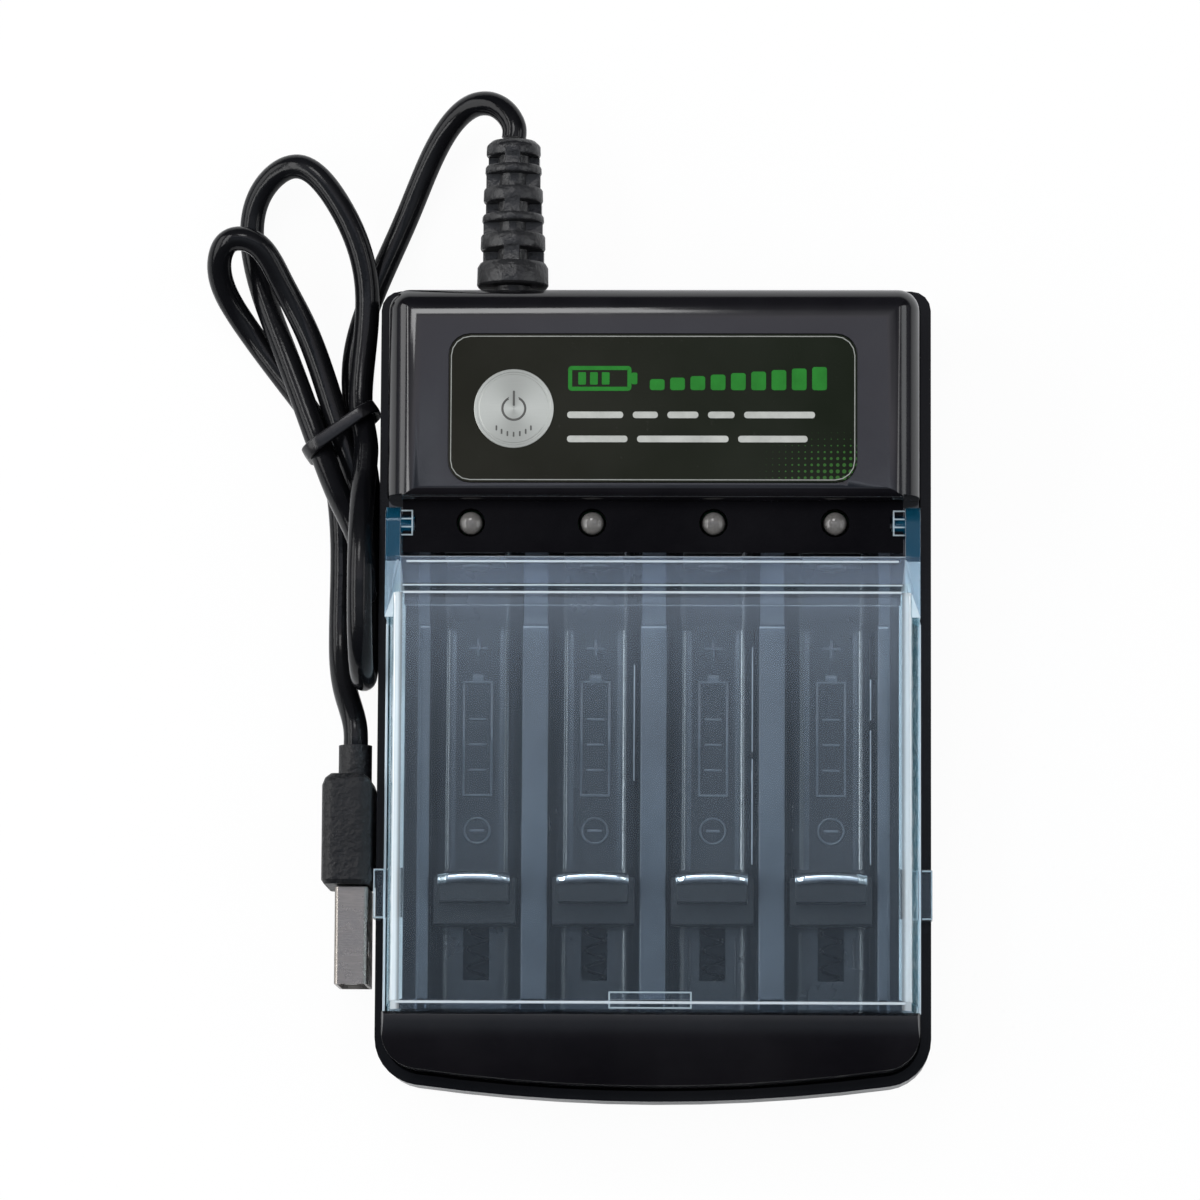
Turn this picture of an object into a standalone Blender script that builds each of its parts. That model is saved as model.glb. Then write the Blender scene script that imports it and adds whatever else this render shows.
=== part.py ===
"""AA battery charger: a flat desk unit with four bays under a clear hinged lid, sliding
negative contacts, a label with a power disc, four LEDs and a captive cord tied in a hank."""

import math

import bmesh
import bpy
import numpy as np
from mathutils import Matrix, Vector

# Clearances
GAP = 0.0003
SEAT_GAP = 0.0001
OVERLAP = 0.0006

# Case: lower shell
CASE_WIDTH = 0.0760
CASE_LENGTH = 0.1120
CASE_BASE = 0.0006
RIM_TOP = 0.0110
CASE_WALL = 0.00145
FLOOR_THICKNESS = 0.0018
BASE_CHAMFER = 0.0008
FRONT_BOW = 0.0022
FRONT_CORNER_RADIUS = 0.0065
HEAD_CORNER_RADIUS = 0.0027

# Case: upper shell
EDGE_STEP = 0.00175
UPPER_FOOT = 0.0097
SHELL_WALL = 0.0018
HEAD_TOP = 0.0270
HEAD_DEPTH = 0.02935
HEAD_FRONT_ROLL = 0.0020
HEAD_REAR_ROLL = 0.00385
SIDE_BEVEL_WIDTH = 0.00305
SIDE_BEVEL_DROP = 0.0036
STRIP_TOP = 0.0236
STRIP_DEPTH = 0.0070
STRIP_SIDE_WALL = 0.0052
FRONT_BLOCK_DEPTH = 0.00975
FRONT_BLOCK_TOP = 0.0250
FRONT_BLOCK_DROP = 0.0045

HALF_LENGTH = CASE_LENGTH / 2
HALF_WIDTH = CASE_WIDTH / 2
UPPER_HALF = HALF_WIDTH - EDGE_STEP
UPPER_REAR_Y = HALF_LENGTH - EDGE_STEP
UPPER_FRONT_Y = EDGE_STEP - HALF_LENGTH
HEAD_FRONT_Y = UPPER_REAR_Y - HEAD_DEPTH
BAY_HEAD_Y = HEAD_FRONT_Y - STRIP_DEPTH
BAY_FRONT_Y = UPPER_FRONT_Y + FRONT_BLOCK_DEPTH
FLOOR_TOP = CASE_BASE + FLOOR_THICKNESS

# Battery slots, four side by side between the edges of the upper shell
SLOT_COUNT = 4
BAY_SIDE_MARGIN = 0.00385
RIB_WIDTH = 0.0040
SEAT_STEP = 0.0008
GROOVE_FLOOR = 0.0080
GROOVE_CORNER = 0.0020
SEAT_LOW = 0.0104
TRAY_TOP = 0.0112
TRAY_SKIN = 0.0015
TRAY_SLIT = 0.0026
RIB_TOP = 0.0128
RIB_CHAMFER = 0.0004
SIDE_RIB_WIDTH = 0.0019

SLOT_PITCH = 2 * (UPPER_HALF - BAY_SIDE_MARGIN) / SLOT_COUNT
SEAT_WIDTH = SLOT_PITCH - RIB_WIDTH
GROOVE_WIDTH = SEAT_WIDTH - 2 * SEAT_STEP
SLOT_XS = tuple((i - (SLOT_COUNT - 1) / 2) * SLOT_PITCH for i in range(SLOT_COUNT))

# Label and LEDs
LABEL_SIDE_MARGIN = 0.00845
LABEL_FRONT_MARGIN = 0.0021
LABEL_REAR_MARGIN = 0.00675
LABEL_RADIUS = 0.0030
LABEL_RECESS = 0.0005
LABEL_THICKNESS = 0.0004
LED_SPREAD = 0.0003
LED_SETBACK = 0.0041
LED_RADIUS = 0.0016
LED_FLANGE = 0.0003
LED_HOLE_RADIUS = 0.00195

LABEL_WIDTH = 2 * (UPPER_HALF - LABEL_SIDE_MARGIN)
LABEL_FRONT_Y = HEAD_FRONT_Y + LABEL_FRONT_MARGIN
LABEL_REAR_Y = UPPER_REAR_Y - LABEL_REAR_MARGIN
LED_Y = BAY_HEAD_Y + LED_SETBACK
LED_XS = tuple(x * (1 + LED_SPREAD / SLOT_PITCH) for x in SLOT_XS)

# Contacts and sliders
CONTACT_SHEET = 0.0004
POSITIVE_MARGIN = 0.0021
POSITIVE_LOW = 0.0115
POSITIVE_TOP = 0.0205
NUB_HALF = 0.0021
NUB_LOW = 0.0122
NUB_TOP = 0.0167
NUB_HEIGHT = 0.0007
TAB_WIDTH = 0.0018
SLIDER_RUN = 0.0197
NEGATIVE_MARGIN = 0.0012
NEGATIVE_LOW = 0.0108
NEGATIVE_TOP = 0.0170
LIP_DEPTH = 0.0024
LIP_RADIUS = 0.0009
SLIDER_SIDE_GAP = 0.0005
SLIDER_LENGTH = 0.0065
SLIDER_HEAD_LENGTH = 0.0036
SLIDER_HEAD_STEP = 0.0008
SLIDER_TRAVEL = 0.0085
SLIDER_DECK_STAND = 0.0022
SLIDER_DECK = TRAY_TOP + SLIDER_DECK_STAND
SLIDER_TOP = SLIDER_DECK + 0.0028
SLIDER_AXIS_Z = 0.0130
KEEL_WIDTH = 0.0030
KEEL_LENGTH = 0.0044
SHOE_WIDTH = 0.0060
SHOE_FOOT = 0.0029
SPRING_DIAMETER = 0.0032
SPRING_WIRE = 0.00045
SPRING_Z = 0.0045
SPRING_TURNS = 7
BUS_SETBACK = 0.0048
BUS_OVERHANG = 0.0017
BUS_TOP = 0.0070
BUS_RIB_WIDTH = 0.0020
BUS_RIB_DEPTH = 0.0012

POSITIVE_WIDTH = SEAT_WIDTH - 2 * POSITIVE_MARGIN
NEGATIVE_WIDTH = SEAT_WIDTH - 2 * NEGATIVE_MARGIN
SLIDER_WIDTH = SEAT_WIDTH - 2 * SLIDER_SIDE_GAP
NEGATIVE_FACE_Y = BAY_FRONT_Y + SLIDER_RUN
SLIDER_FRONT_Y = NEGATIVE_FACE_Y - CONTACT_SHEET - GAP
KEEL_REAR_Y = SLIDER_FRONT_Y - 2 * GAP
BUS_Y = BAY_FRONT_Y - BUS_SETBACK
BUS_HALF = SLOT_XS[-1] + BUS_OVERHANG

# Board
BOARD_BASE = 0.0160
BOARD_THICKNESS = 0.0016
BOARD_SIDE_MARGIN = 0.00825
BOARD_FRONT_GAP = 0.0005
BOARD_REAR_MARGIN = 0.01025
CHIP_SIZE = 0.0070
CHIP_HEIGHT = 0.0012
INDUCTOR_RADIUS = 0.0038
INDUCTOR_HEIGHT = 0.0045
CAPACITOR_RADIUS = 0.0028
CAPACITOR_HEIGHT = 0.0055
PART_SPACING = 0.0060
WIRE_DIAMETER = 0.0012
WIRE_SIDE_GAP = 0.0044
WIRE_Z = 0.0036

BOARD_TOP = BOARD_BASE + BOARD_THICKNESS
BOARD_HALF = UPPER_HALF - BOARD_SIDE_MARGIN
BOARD_FRONT_Y = BAY_HEAD_Y + SHELL_WALL + BOARD_FRONT_GAP
BOARD_REAR_Y = UPPER_REAR_Y - BOARD_REAR_MARGIN
BOARD_MIDDLE_Y = (BOARD_FRONT_Y + BOARD_REAR_Y) / 2
TAB_LOW = BOARD_TOP + GAP

# Screws, pillars and feet
SCREW_SIDE_MARGIN = 0.00545
SCREW_REAR_MARGIN = 0.00575
SCREW_FRONT_MARGIN = 0.00545
SCREW_HEAD_RADIUS = 0.0024
SCREW_HEAD_HEIGHT = 0.0016
SCREW_RADIUS = 0.00125
SCREW_SEAT = 0.0032
SCREW_TIP = 0.0150
PILLAR_RADIUS = 0.0034
BOSS_RADIUS = 0.0030
BOARD_PILLAR_RADIUS = 0.0022
BOARD_PILLAR_SIDE = 0.0025
BOARD_PILLAR_END = 0.0042
FOOT_RADIUS = 0.0040
FOOT_RECESS = 0.0007
FOOT_SIDE_MARGIN = 0.0100
FOOT_END_MARGIN = 0.0160

SCREW_X = UPPER_HALF - SCREW_SIDE_MARGIN
SCREWS = tuple(
    (side * SCREW_X, y)
    for y in (UPPER_REAR_Y - SCREW_REAR_MARGIN, UPPER_FRONT_Y + SCREW_FRONT_MARGIN)
    for side in (-1, 1)
)
BOARD_PILLAR_X = BOARD_HALF - BOARD_PILLAR_SIDE
BOARD_PILLAR_YS = (BOARD_FRONT_Y + BOARD_PILLAR_END, BOARD_REAR_Y - BOARD_PILLAR_END)
FEET = tuple(
    (side * (HALF_WIDTH - FOOT_SIDE_MARGIN), end * (HALF_LENGTH - FOOT_END_MARGIN))
    for end in (1, -1)
    for side in (-1, 1)
)

# Lid
LID_TOP = 0.0260
LID_THICKNESS = 0.0016
LID_REAR_GAP = 0.0057
LID_SHOULDER_STEP = 0.0012
LID_PLATE_STEP = 0.0026
LID_TURN = 0.0018
LID_FOOT = 0.0122
LID_LEAN = 0.00015
SKIRT_REAR_GAP = 0.0069
SKIRT_SLOPE = 1.2
LEDGE_GAP = 0.0006
LEDGE_TOP = 0.0244
HINGE_SETBACK = 0.0040
HINGE_Z = 0.0218
ARM_THICKNESS = 0.0020
ARM_RADIUS = 0.0024
PIN_RADIUS = 0.0011
PIN_LENGTH = 0.0018
NOTCH_REAR = 0.0037
LATCH_BAR_WIDTH = 0.0110
TAB_STAND = 0.0001
TAB_FRONT = 0.0132
TAB_LENGTH = 0.0068
TAB_TOP = 0.0150

LID_FOOT_HALF = UPPER_HALF + LID_LEAN
LID_SHOULDER_HALF = LID_FOOT_HALF - LID_SHOULDER_STEP
LID_PLATE_HALF = LID_FOOT_HALF - LID_PLATE_STEP
LID_REAR_Y = BAY_HEAD_Y - LID_REAR_GAP
LID_FRONT_Y = BAY_FRONT_Y + GAP
SKIRT_REAR_Y = BAY_HEAD_Y - SKIRT_REAR_GAP
LEDGE_REAR_Y = BAY_HEAD_Y - LEDGE_GAP
HINGE_Y = BAY_HEAD_Y + HINGE_SETBACK
ARM_OUTER = UPPER_HALF + LID_LEAN / 3
ARM_INNER = ARM_OUTER - ARM_THICKNESS
PIN_INNER = ARM_INNER - PIN_LENGTH
NOTCH_REAR_Y = HINGE_Y + NOTCH_REAR

# Strain relief, cord and plug: x and y are measured from the case's left head corner
CORD_EXIT_X = 0.0182
CORD_EXIT_Z = 0.0120
CORD_DIAMETER = 0.0034
CORD_LIE = 0.00175
CORD_WALL_GAP = 0.00195
RELIEF_NECK_RADIUS = 0.0026
RELIEF_FLANGE_RADIUS = 0.00485
RELIEF_INNER_RADIUS = 0.0038
RELIEF_INNER_THICKNESS = 0.0013
RELIEF_FLANGE_THICKNESS = 0.0032
RELIEF_REACH = 0.0210
RELIEF_SEGMENTS = 5
RELIEF_GROOVE = 0.0011
RELIEF_CORE_RADIUS = 0.0023
RELIEF_FIRST_RADIUS = 0.0041
RELIEF_TAPER = 0.0003
TIE_WIRE = 0.0009
TIE_CENTRE = (-0.0056, -0.0190, 0.00555)
TIE_HALF_WIDTH = 0.0060
TIE_HALF_HEIGHT = 0.0050
TIE_CORNER = 0.0023
PLUG_AXIS_X = -0.0032
PLUG_GRIP_SHIFT = 0.0007
PLUG_Z = 0.0080
PLUG_NECK_RADIUS = 0.0023
PLUG_NECK_END = -0.0630
GRIP_REAR = -0.0674
GRIP_LENGTH = 0.0152
GRIP_THICKNESS = 0.0068
GRIP_HEIGHT = 0.0159
PLUG_SHELL_THICKNESS = 0.0045
PLUG_SHELL_HEIGHT = 0.0120
PLUG_SHELL_SHEET = 0.0004
PLUG_SHELL_LENGTH = 0.0136
PLUG_WINDOW = 0.0022
PLUG_WINDOW_OFFSET = 0.0027
PLUG_WINDOW_SETBACK = 0.0040
TONGUE_THICKNESS = 0.0018

CORNER_X = -HALF_WIDTH
CORNER_Y = HALF_LENGTH
CORD_X = CORNER_X + CORD_EXIT_X
PLUG_X = CORNER_X + PLUG_AXIS_X
PLUG_GRIP_X = PLUG_X - PLUG_GRIP_SHIFT
PLUG_NECK_Y = CORNER_Y + PLUG_NECK_END
GRIP_REAR_Y = CORNER_Y + GRIP_REAR
GRIP_FRONT_Y = GRIP_REAR_Y - GRIP_LENGTH
PLUG_TIP_Y = GRIP_FRONT_Y - PLUG_SHELL_LENGTH

# Route of the cord in millimetres from the same corner: arch, first pass, upright turn, big
# loop, second pass, inner upright turn, third pass, small loop, last pass along the table
CORD_ROUTE = (
    (18.2, 21.3, 12.0), (18.2, 23.0, 11.8), (16.1, 26.0, 10.5), (12.2, 26.7, 8.0),
    (7.6, 22.4, 4.6), (3.1, 12.6, 2.1), (-1.2, 2.6, 1.9), (-4.3, -8.0, 2.0),
    (-3.6, -18.0, 3.2), (-2.2, -26.5, 1.9), (-2.0, -36.0, 1.8), (-2.0, -45.4, 2.0),
    (-2.0, -51.6, 5.0), (-2.0, -54.0, 11.4), (-2.0, -51.2, 17.8), (-2.0, -44.6, 20.8),
    (-2.0, -36.2, 20.2), (-2.0, -27.6, 15.2), (-2.1, -21.0, 9.6), (-3.1, -14.6, 6.8),
    (-2.4, 1.0, 5.8), (-6.4, 13.0, 6.8), (-12.2, 18.5, 6.2), (-17.6, 15.2, 3.4),
    (-18.6, 6.5, 1.9), (-13.6, -8.2, 5.2), (-9.2, -19.8, 7.1), (-4.9, -30.2, 12.2),
    (-2.0, -37.2, 15.4), (-2.0, -42.1, 10.8), (-2.0, -37.6, 6.0), (-3.2, -27.5, 5.8),
    (-6.0, -18.4, 6.1), (-10.6, -5.2, 6.0), (-14.3, 2.0, 7.4), (-17.8, 7.0, 9.4),
    (-21.4, 7.4, 9.2), (-23.0, 3.6, 6.4), (-20.2, -2.6, 2.6), (-13.2, -12.0, 1.9),
    (-8.2, -19.8, 3.2), (-5.8, -33.0, 1.9), (-5.8, -48.0, 2.0), (-4.9, -55.0, 4.9),
    (-3.3, -60.3, 7.85), (-3.2, -62.5, 8.0),
)
CORD_STEP = 0.0058
CORD_LEAD = 0.0016


def clear_start():
    for item in list(bpy.data.objects):
        bpy.data.objects.remove(item)


def collection(name):
    made = bpy.data.collections.new(name)
    bpy.context.scene.collection.children.link(made)
    return made


clear_start()
PARTS = collection("aa_battery_charger")
CUTTERS = collection("cutters")


def material(name, colour, roughness, metallic=0.0, alpha=1.0):
    made = bpy.data.materials.new(name)
    made.use_nodes = True
    shader = made.node_tree.nodes["Principled BSDF"]
    shader.inputs["Base Color"].default_value = (*colour, 1.0)
    shader.inputs["Roughness"].default_value = roughness
    shader.inputs["Metallic"].default_value = metallic
    shader.inputs["Alpha"].default_value = alpha
    return made


def mesh_object(name, points, faces, group):
    mesh = bpy.data.meshes.new(name)
    work = bmesh.new()
    corners = [work.verts.new(p) for p in points]
    for face in faces:
        work.faces.new([corners[i] for i in face])
    bmesh.ops.recalc_face_normals(work, faces=work.faces)
    work.to_mesh(mesh)
    work.free()
    made = bpy.data.objects.new(name, mesh)
    group.objects.link(made)
    if group is CUTTERS:
        made.hide_render = True
        made.display_type = "WIRE"
    return made


def ring_stack(name, rings, group):
    """Closed solid through rings of equally many points."""
    count = len(rings[0])
    points = [p for ring in rings for p in ring]
    faces = [list(range(count))]
    faces.append(list(range((len(rings) - 1) * count, len(rings) * count)))
    for level in range(len(rings) - 1):
        low = level * count
        for i in range(count):
            j = (i + 1) % count
            faces.append([low + i, low + j, low + count + j, low + count + i])
    return mesh_object(name, points, faces, group)


def prism(name, outline, axis, low, high, group):
    """Outline of (u, v) pairs drawn out along X (u, v = y, z), Y (x, z) or Z (x, y)."""
    place = {
        "X": lambda u, v, a: (a, u, v),
        "Y": lambda u, v, a: (u, a, v),
        "Z": lambda u, v, a: (u, v, a),
    }[axis]
    rings = [[place(u, v, a) for u, v in outline] for a in (low, high)]
    return ring_stack(name, rings, group)


def box(name, x, y, z, group):
    outline = ((x[0], y[0]), (x[1], y[0]), (x[1], y[1]), (x[0], y[1]))
    return prism(name, outline, "Z", z[0], z[1], group)


def circle(radius, centre, count):
    steps = [2 * math.pi * i / count for i in range(count)]
    return [(centre[0] + radius * math.cos(t), centre[1] + radius * math.sin(t)) for t in steps]


def cylinder(name, radius, centre, axis, low, high, group, count=32):
    return prism(name, circle(radius, centre, count), axis, low, high, group)


def lathe(name, profile, axis, centre, group, count=32):
    """Solid of revolution: (radius, height) pairs, none of them on the axis."""
    rings = []
    for radius, height in profile:
        ring = circle(radius, centre, count)
        if axis == "Y":
            rings.append([(u, height, v) for u, v in ring])
        else:
            rings.append([(u, v, height) for u, v in ring])
    return ring_stack(name, rings, group)


def arc(centre, radii, start, end, count):
    """Points of an elliptical arc, angles in degrees."""
    angles = [math.radians(start + (end - start) * i / (count - 1)) for i in range(count)]
    return [
        (centre[0] + radii[0] * math.cos(t), centre[1] + radii[1] * math.sin(t)) for t in angles
    ]


def boolean(target, cutter, operation):
    step = target.modifiers.new(cutter.name, "BOOLEAN")
    step.operation = operation
    step.solver = "EXACT"
    step.object = cutter


def cut(target, cutter):
    boolean(target, cutter, "DIFFERENCE")


def add(target, extra):
    boolean(target, extra, "UNION")


def keep(target, limit):
    boolean(target, limit, "INTERSECT")


def set_origin(target, origin):
    """Moves the object's origin, its shape staying where it is."""
    target.data.transform(matrix_of(-Vector(origin)))
    target.location = origin


def matrix_of(shift):
    return Matrix.Translation(shift)


def paint(target, look, smooth=False):
    target.data.materials.append(look)
    if smooth and target.type == "MESH":
        for face in target.data.polygons:
            face.use_smooth = True


def rounded_rectangle(x, y, radius, count=6):
    """Outline of (u, v) pairs between the limits x and y."""
    points = arc((x[1] - radius, y[1] - radius), (radius, radius), 0, 90, count)
    points += arc((x[0] + radius, y[1] - radius), (radius, radius), 90, 180, count)
    points += arc((x[0] + radius, y[0] + radius), (radius, radius), 180, 270, count)
    points += arc((x[1] - radius, y[0] + radius), (radius, radius), 270, 360, count)
    return points


def case_outline(inset):
    """Plan of the case: small round corners at the head, larger ones at the bowed front."""
    half = HALF_WIDTH - inset
    rear = HALF_LENGTH - inset
    head = max(HEAD_CORNER_RADIUS - inset, 0.0008)
    front = max(FRONT_CORNER_RADIUS - inset, 0.0020)
    side_front = -HALF_LENGTH + inset + FRONT_BOW
    reach = half - front
    tilt = math.degrees(math.atan(2 * FRONT_BOW / reach))
    points = arc((half - head, rear - head), (head, head), 0, 90, 5)
    points += arc((head - half, rear - head), (head, head), 90, 180, 5)
    points += arc((-reach, side_front + front), (front, front), 180, 270 - tilt, 8)
    left = points[-1]
    for i in range(1, 10):
        x = left[0] * (1 - i / 5)
        points.append((x, left[1] - FRONT_BOW * (1 - (x / left[0]) ** 2)))
    points += arc((reach, side_front + front), (front, front), 270 + tilt, 360, 8)
    return points


def cord_points():
    """Natural cubic spline through the route, resting on the table and beside the case."""
    route = np.array(CORD_ROUTE) / 1000 + (CORNER_X, CORNER_Y, 0.0)
    pace = np.linalg.norm(np.diff(route, axis=0), axis=1) ** 0.6
    times = np.concatenate(([0.0], np.cumsum(pace)))
    count = len(route)
    system = np.eye(count)
    right = np.zeros((count, 3))
    for i in range(1, count - 1):
        system[i, i - 1 : i + 2] = (pace[i - 1], 2 * (pace[i - 1] + pace[i]), pace[i])
        after = (route[i + 1] - route[i]) / pace[i]
        before = (route[i] - route[i - 1]) / pace[i - 1]
        right[i] = 6 * (after - before)
    bend = np.linalg.solve(system, right)
    fine = []
    for i in range(count - 1):
        for j in range(24):
            b = j / 24
            a = 1 - b
            point = a * route[i] + b * route[i + 1]
            point = point + ((a**3 - a) * bend[i] + (b**3 - b) * bend[i + 1]) * pace[i] ** 2 / 6
            fine.append(point)
    fine.append(route[-1])
    fine = np.array(fine)
    fine[:, 2] = np.maximum(fine[:, 2], CORD_LIE)
    beside = fine[:, 1] < CORNER_Y
    fine[beside, 0] = np.minimum(fine[beside, 0], CORNER_X - CORD_WALL_GAP)
    fine[-1] = route[-1]
    length = np.concatenate(([0.0], np.cumsum(np.linalg.norm(np.diff(fine, axis=0), axis=1))))
    steps = round(length[-1] / CORD_STEP)
    even = np.linspace(0.0, length[-1], steps + 1)
    even = np.insert(even, (1, steps), (CORD_LEAD, length[-1] - CORD_LEAD))
    return [tuple(float(np.interp(s, length, fine[:, k])) for k in range(3)) for s in even]


def tube(name, points, diameter, look, closed=False, resolution=2):
    curve = bpy.data.curves.new(name, "CURVE")
    curve.dimensions = "3D"
    curve.bevel_depth = diameter / 2
    curve.bevel_resolution = resolution
    curve.use_fill_caps = not closed
    line = curve.splines.new("POLY")
    line.points.add(len(points) - 1)
    for point, place in zip(line.points, points):
        point.co = (*place, 1.0)
    line.use_cyclic_u = closed
    made = bpy.data.objects.new(name, curve)
    PARTS.objects.link(made)
    paint(made, look)
    return made


def lower_shell():
    body_outline = case_outline(0)
    chamfered = case_outline(BASE_CHAMFER)
    rings = [
        [(x, y, CASE_BASE) for x, y in chamfered],
        [(x, y, CASE_BASE + BASE_CHAMFER) for x, y in body_outline],
        [(x, y, RIM_TOP) for x, y in body_outline],
    ]
    shell = ring_stack("lower_shell", rings, PARTS)
    inner = case_outline(CASE_WALL)
    cut(shell, prism("lower_hollow", inner, "Z", FLOOR_TOP, RIM_TOP + OVERLAP, CUTTERS))
    pillar_top = UPPER_FOOT - GAP
    for i, (x, y) in enumerate(SCREWS):
        name = f"screw_pillar_{i + 1}"
        low = FLOOR_TOP - OVERLAP
        add(shell, cylinder(name, PILLAR_RADIUS, (x, y), "Z", low, pillar_top, CUTTERS))
    for i, y in enumerate(BOARD_PILLAR_YS):
        for side in (-1, 1):
            name = f"board_pillar_{i + 1}_{side + 2}"
            spot = (side * BOARD_PILLAR_X, y)
            low = FLOOR_TOP - OVERLAP
            high = BOARD_BASE - GAP
            add(shell, cylinder(name, BOARD_PILLAR_RADIUS, spot, "Z", low, high, CUTTERS, 24))
    for side in (-1, 1):
        middle = side * SLOT_PITCH
        x = (middle - BUS_RIB_WIDTH / 2, middle + BUS_RIB_WIDTH / 2)
        bus_back = BUS_Y - CONTACT_SHEET - GAP
        y = (bus_back - BUS_RIB_DEPTH, bus_back)
        z = (FLOOR_TOP - OVERLAP, BUS_TOP - GAP)
        add(shell, box(f"bus_rib_{side + 2}", x, y, z, CUTTERS))
    for i, (x, y) in enumerate(SCREWS):
        sink = cylinder(
            f"screw_sink_{i + 1}", SCREW_HEAD_RADIUS + GAP, (x, y), "Z",
            CASE_BASE - OVERLAP, SCREW_SEAT, CUTTERS,
        )
        cut(shell, sink)
        bore = cylinder(
            f"screw_way_{i + 1}", SCREW_RADIUS + GAP, (x, y), "Z",
            SCREW_SEAT - OVERLAP, pillar_top + OVERLAP, CUTTERS, 24,
        )
        cut(shell, bore)
    for i, (x, y) in enumerate(FEET):
        recess = cylinder(
            f"foot_recess_{i + 1}", FOOT_RADIUS + GAP, (x, y), "Z",
            CASE_BASE - OVERLAP, CASE_BASE + FOOT_RECESS, CUTTERS,
        )
        cut(shell, recess)
    cut(shell, relief_way("lower_cord_way"))
    return shell


def relief_way(name):
    return cylinder(
        name, RELIEF_NECK_RADIUS + GAP, (CORD_X, CORD_EXIT_Z), "Y",
        UPPER_REAR_Y - SHELL_WALL - OVERLAP, HALF_LENGTH + OVERLAP, CUTTERS,
    )


def slot_profile(centre):
    """Left to right across one slot: rib edge, cell seat, groove, cell seat, rib edge."""
    seat = SEAT_WIDTH / 2
    groove = GROOVE_WIDTH / 2
    low = GROOVE_FLOOR + GROOVE_CORNER
    radii = (GROOVE_CORNER, GROOVE_CORNER)
    left = [(-seat - RIB_CHAMFER, RIB_TOP), (-seat, RIB_TOP - RIB_CHAMFER), (-seat, TRAY_TOP)]
    left.append((-groove, SEAT_LOW))
    left += arc((GROOVE_CORNER - groove, low), radii, 180, 270, 5)
    right = [(-u, v) for u, v in reversed(left)]
    return [(centre + u, v) for u, v in left + right]


def tray_profile():
    edge = HALF_WIDTH
    rib = SLOT_XS[-1] + SEAT_WIDTH / 2 + SIDE_RIB_WIDTH
    under = (SLOT_PITCH - TRAY_SLIT) / 2
    points = [(-edge, TRAY_TOP), (-rib, TRAY_TOP), (-rib, RIB_TOP)]
    for centre in SLOT_XS:
        points += slot_profile(centre)
    points += [(rib, RIB_TOP), (rib, TRAY_TOP), (edge, TRAY_TOP), (edge, UPPER_FOOT)]
    for centre in reversed(SLOT_XS):
        points += [(centre + under, UPPER_FOOT), (centre + under, GROOVE_FLOOR - TRAY_SKIN)]
        points += [(centre - under, GROOVE_FLOOR - TRAY_SKIN), (centre - under, UPPER_FOOT)]
    points.append((-edge, UPPER_FOOT))
    return points


def head_profile():
    roll = HEAD_FRONT_ROLL
    rear = HEAD_REAR_ROLL
    points = [(BAY_HEAD_Y, UPPER_FOOT), (BAY_HEAD_Y, STRIP_TOP), (HEAD_FRONT_Y, STRIP_TOP)]
    points += arc((HEAD_FRONT_Y + roll, HEAD_TOP - roll), (roll, roll), 180, 90, 6)
    points += arc((UPPER_REAR_Y - rear, HEAD_TOP - rear), (rear, rear), 90, 0, 8)
    points.append((UPPER_REAR_Y, UPPER_FOOT))
    return points


def front_profile():
    depth = BAY_FRONT_Y - UPPER_FRONT_Y
    points = [(BAY_FRONT_Y, UPPER_FOOT), (BAY_FRONT_Y, FRONT_BLOCK_TOP - RIB_CHAMFER)]
    for i in range(9):
        t = i / 8
        y = BAY_FRONT_Y - RIB_CHAMFER - (depth - RIB_CHAMFER) * t
        points.append((y, FRONT_BLOCK_TOP - FRONT_BLOCK_DROP * t**1.6))
    points.append((UPPER_FRONT_Y, UPPER_FOOT))
    return points


def width_profile():
    """Front view of the upper shell: straight sides with a rolled shoulder."""
    centre = (UPPER_HALF - SIDE_BEVEL_WIDTH, HEAD_TOP - SIDE_BEVEL_DROP)
    shoulder = arc(centre, (SIDE_BEVEL_WIDTH, SIDE_BEVEL_DROP), 0, 90, 7)
    low = GROOVE_FLOOR - TRAY_SKIN - OVERLAP
    shoulder[-1] = (centre[0], HEAD_TOP + OVERLAP)
    left = [(-u, v) for u, v in reversed(shoulder)]
    return [(UPPER_HALF + OVERLAP, low)] + [(UPPER_HALF + OVERLAP, centre[1])] + shoulder[1:] + left[:-1] + [
        (-UPPER_HALF - OVERLAP, centre[1]), (-UPPER_HALF - OVERLAP, low),
    ]


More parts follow.
